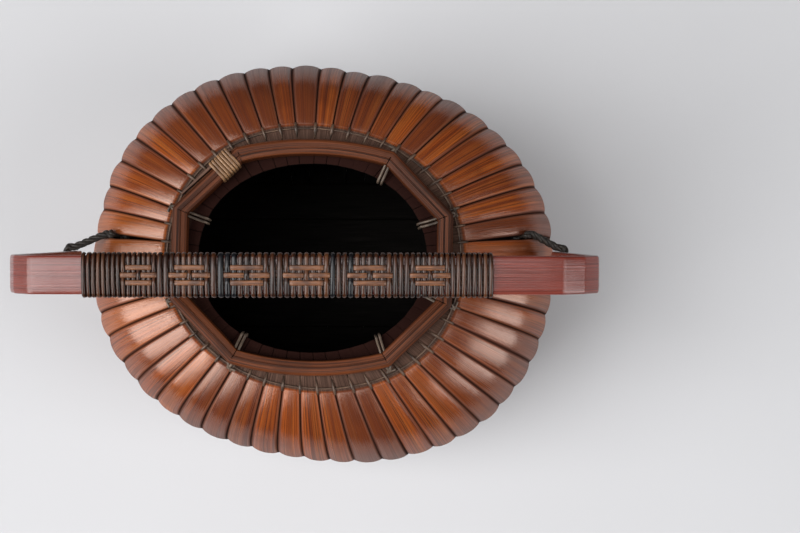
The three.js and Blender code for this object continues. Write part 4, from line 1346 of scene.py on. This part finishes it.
def cord_fibre():
    material, tree, shader = blank_material("black_cord")
    fibre = streaks(tree, 8, 5, detail=4)
    colour = mix(tree, span(tree, fibre, 0.35, 0.65), (0.003, 0.002, 0.0015), (0.024, 0.017, 0.012))
    tree.links.new(colour, shader.inputs["Base Color"])
    gloss(tree, shader, fibre, 0.4, 0.7, 0.3, 0.6)
    return material


BLACK_CORD = cord_fibre()


def tie_cord(name, node, side_x, upper_boundary, lower_boundary):
    upper = cord_side(upper_boundary, side_x, 1)
    lower = cord_side(lower_boundary, side_x, -1)
    cord = lay_cord(name, [*upper, *reversed(lower)])
    cord.data.materials.append(BLACK_CORD)
    shade(cord, 70)
    rest = body_point(upper_boundary / RIB_COUNT, CORD_REST)
    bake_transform(cord)
    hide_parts(node)


tie_cord("handle_tie_right", "tie_cord_right", 1, 1, RIB_COUNT - 1)
tie_cord("handle_tie_left", "tie_cord_left", -1, HALF_TURN - 1, HALF_TURN + 1)


# Studio.
# A plain pale floor, a large soft lamp on the left, weaker ones overhead and on the right, and the
# camera almost straight above the basket.

CAMERA_PLACE = Vector((30, -41, 789)) * MM
CAMERA_TILT = (math.radians(3.32), math.radians(-1.55), 0)
CAMERA_LENS = 50
FLOOR_SIZE = 40
LAMP_AIM = Vector((0, 0, 0.1))
SKY_COLOUR = (0.92, 0.95, 1, 1)
SKY_STRENGTH = 0.04


def pale_floor():
    material, tree, shader = blank_material("pale_floor")
    cloud = span(tree, patches(tree, 0.4), 0.3, 0.7)
    colour = mix(tree, cloud, (0.484, 0.484, 0.497), (0.508, 0.508, 0.521))
    tree.links.new(colour, shader.inputs["Base Color"])
    shader.inputs["Roughness"].default_value = 0.7
    shader.inputs["Specular IOR Level"].default_value = 0.1
    return material


def soft_lamp(name, place, width, height, power):
    bpy.ops.object.light_add(type="AREA", location=place)
    lamp = bpy.context.object
    lamp.name = name
    lamp.data.shape = "RECTANGLE"
    lamp.data.size = width
    lamp.data.size_y = height
    lamp.data.energy = power
    lamp.rotation_euler = (LAMP_AIM - Vector(place)).to_track_quat("-Z", "Y").to_euler()


bpy.ops.mesh.primitive_plane_add(size=FLOOR_SIZE)
ground = bpy.context.object
ground.name = "studio_floor"
ground.data.materials.append(pale_floor())

soft_lamp("left_lamp", (-1.87, -0.58, 1.8), width=1.9, height=2.9, power=106)
soft_lamp("top_lamp", (-0.5, 0, 2.6), width=0.85, height=1.85, power=27)
soft_lamp("right_lamp", (1.9, -0.7, 1.35), width=1.2, height=2.2, power=41)

world = bpy.data.worlds.new("studio")
world.use_nodes = True
sky = world.node_tree.nodes["Background"]
sky.inputs["Color"].default_value = SKY_COLOUR
sky.inputs["Strength"].default_value = SKY_STRENGTH
bpy.context.scene.world = world
bpy.context.scene.view_settings.view_transform = "Standard"

bpy.ops.object.camera_add(location=CAMERA_PLACE, rotation=CAMERA_TILT)
camera = bpy.context.object
camera.data.lens = CAMERA_LENS
bpy.context.scene.camera = camera
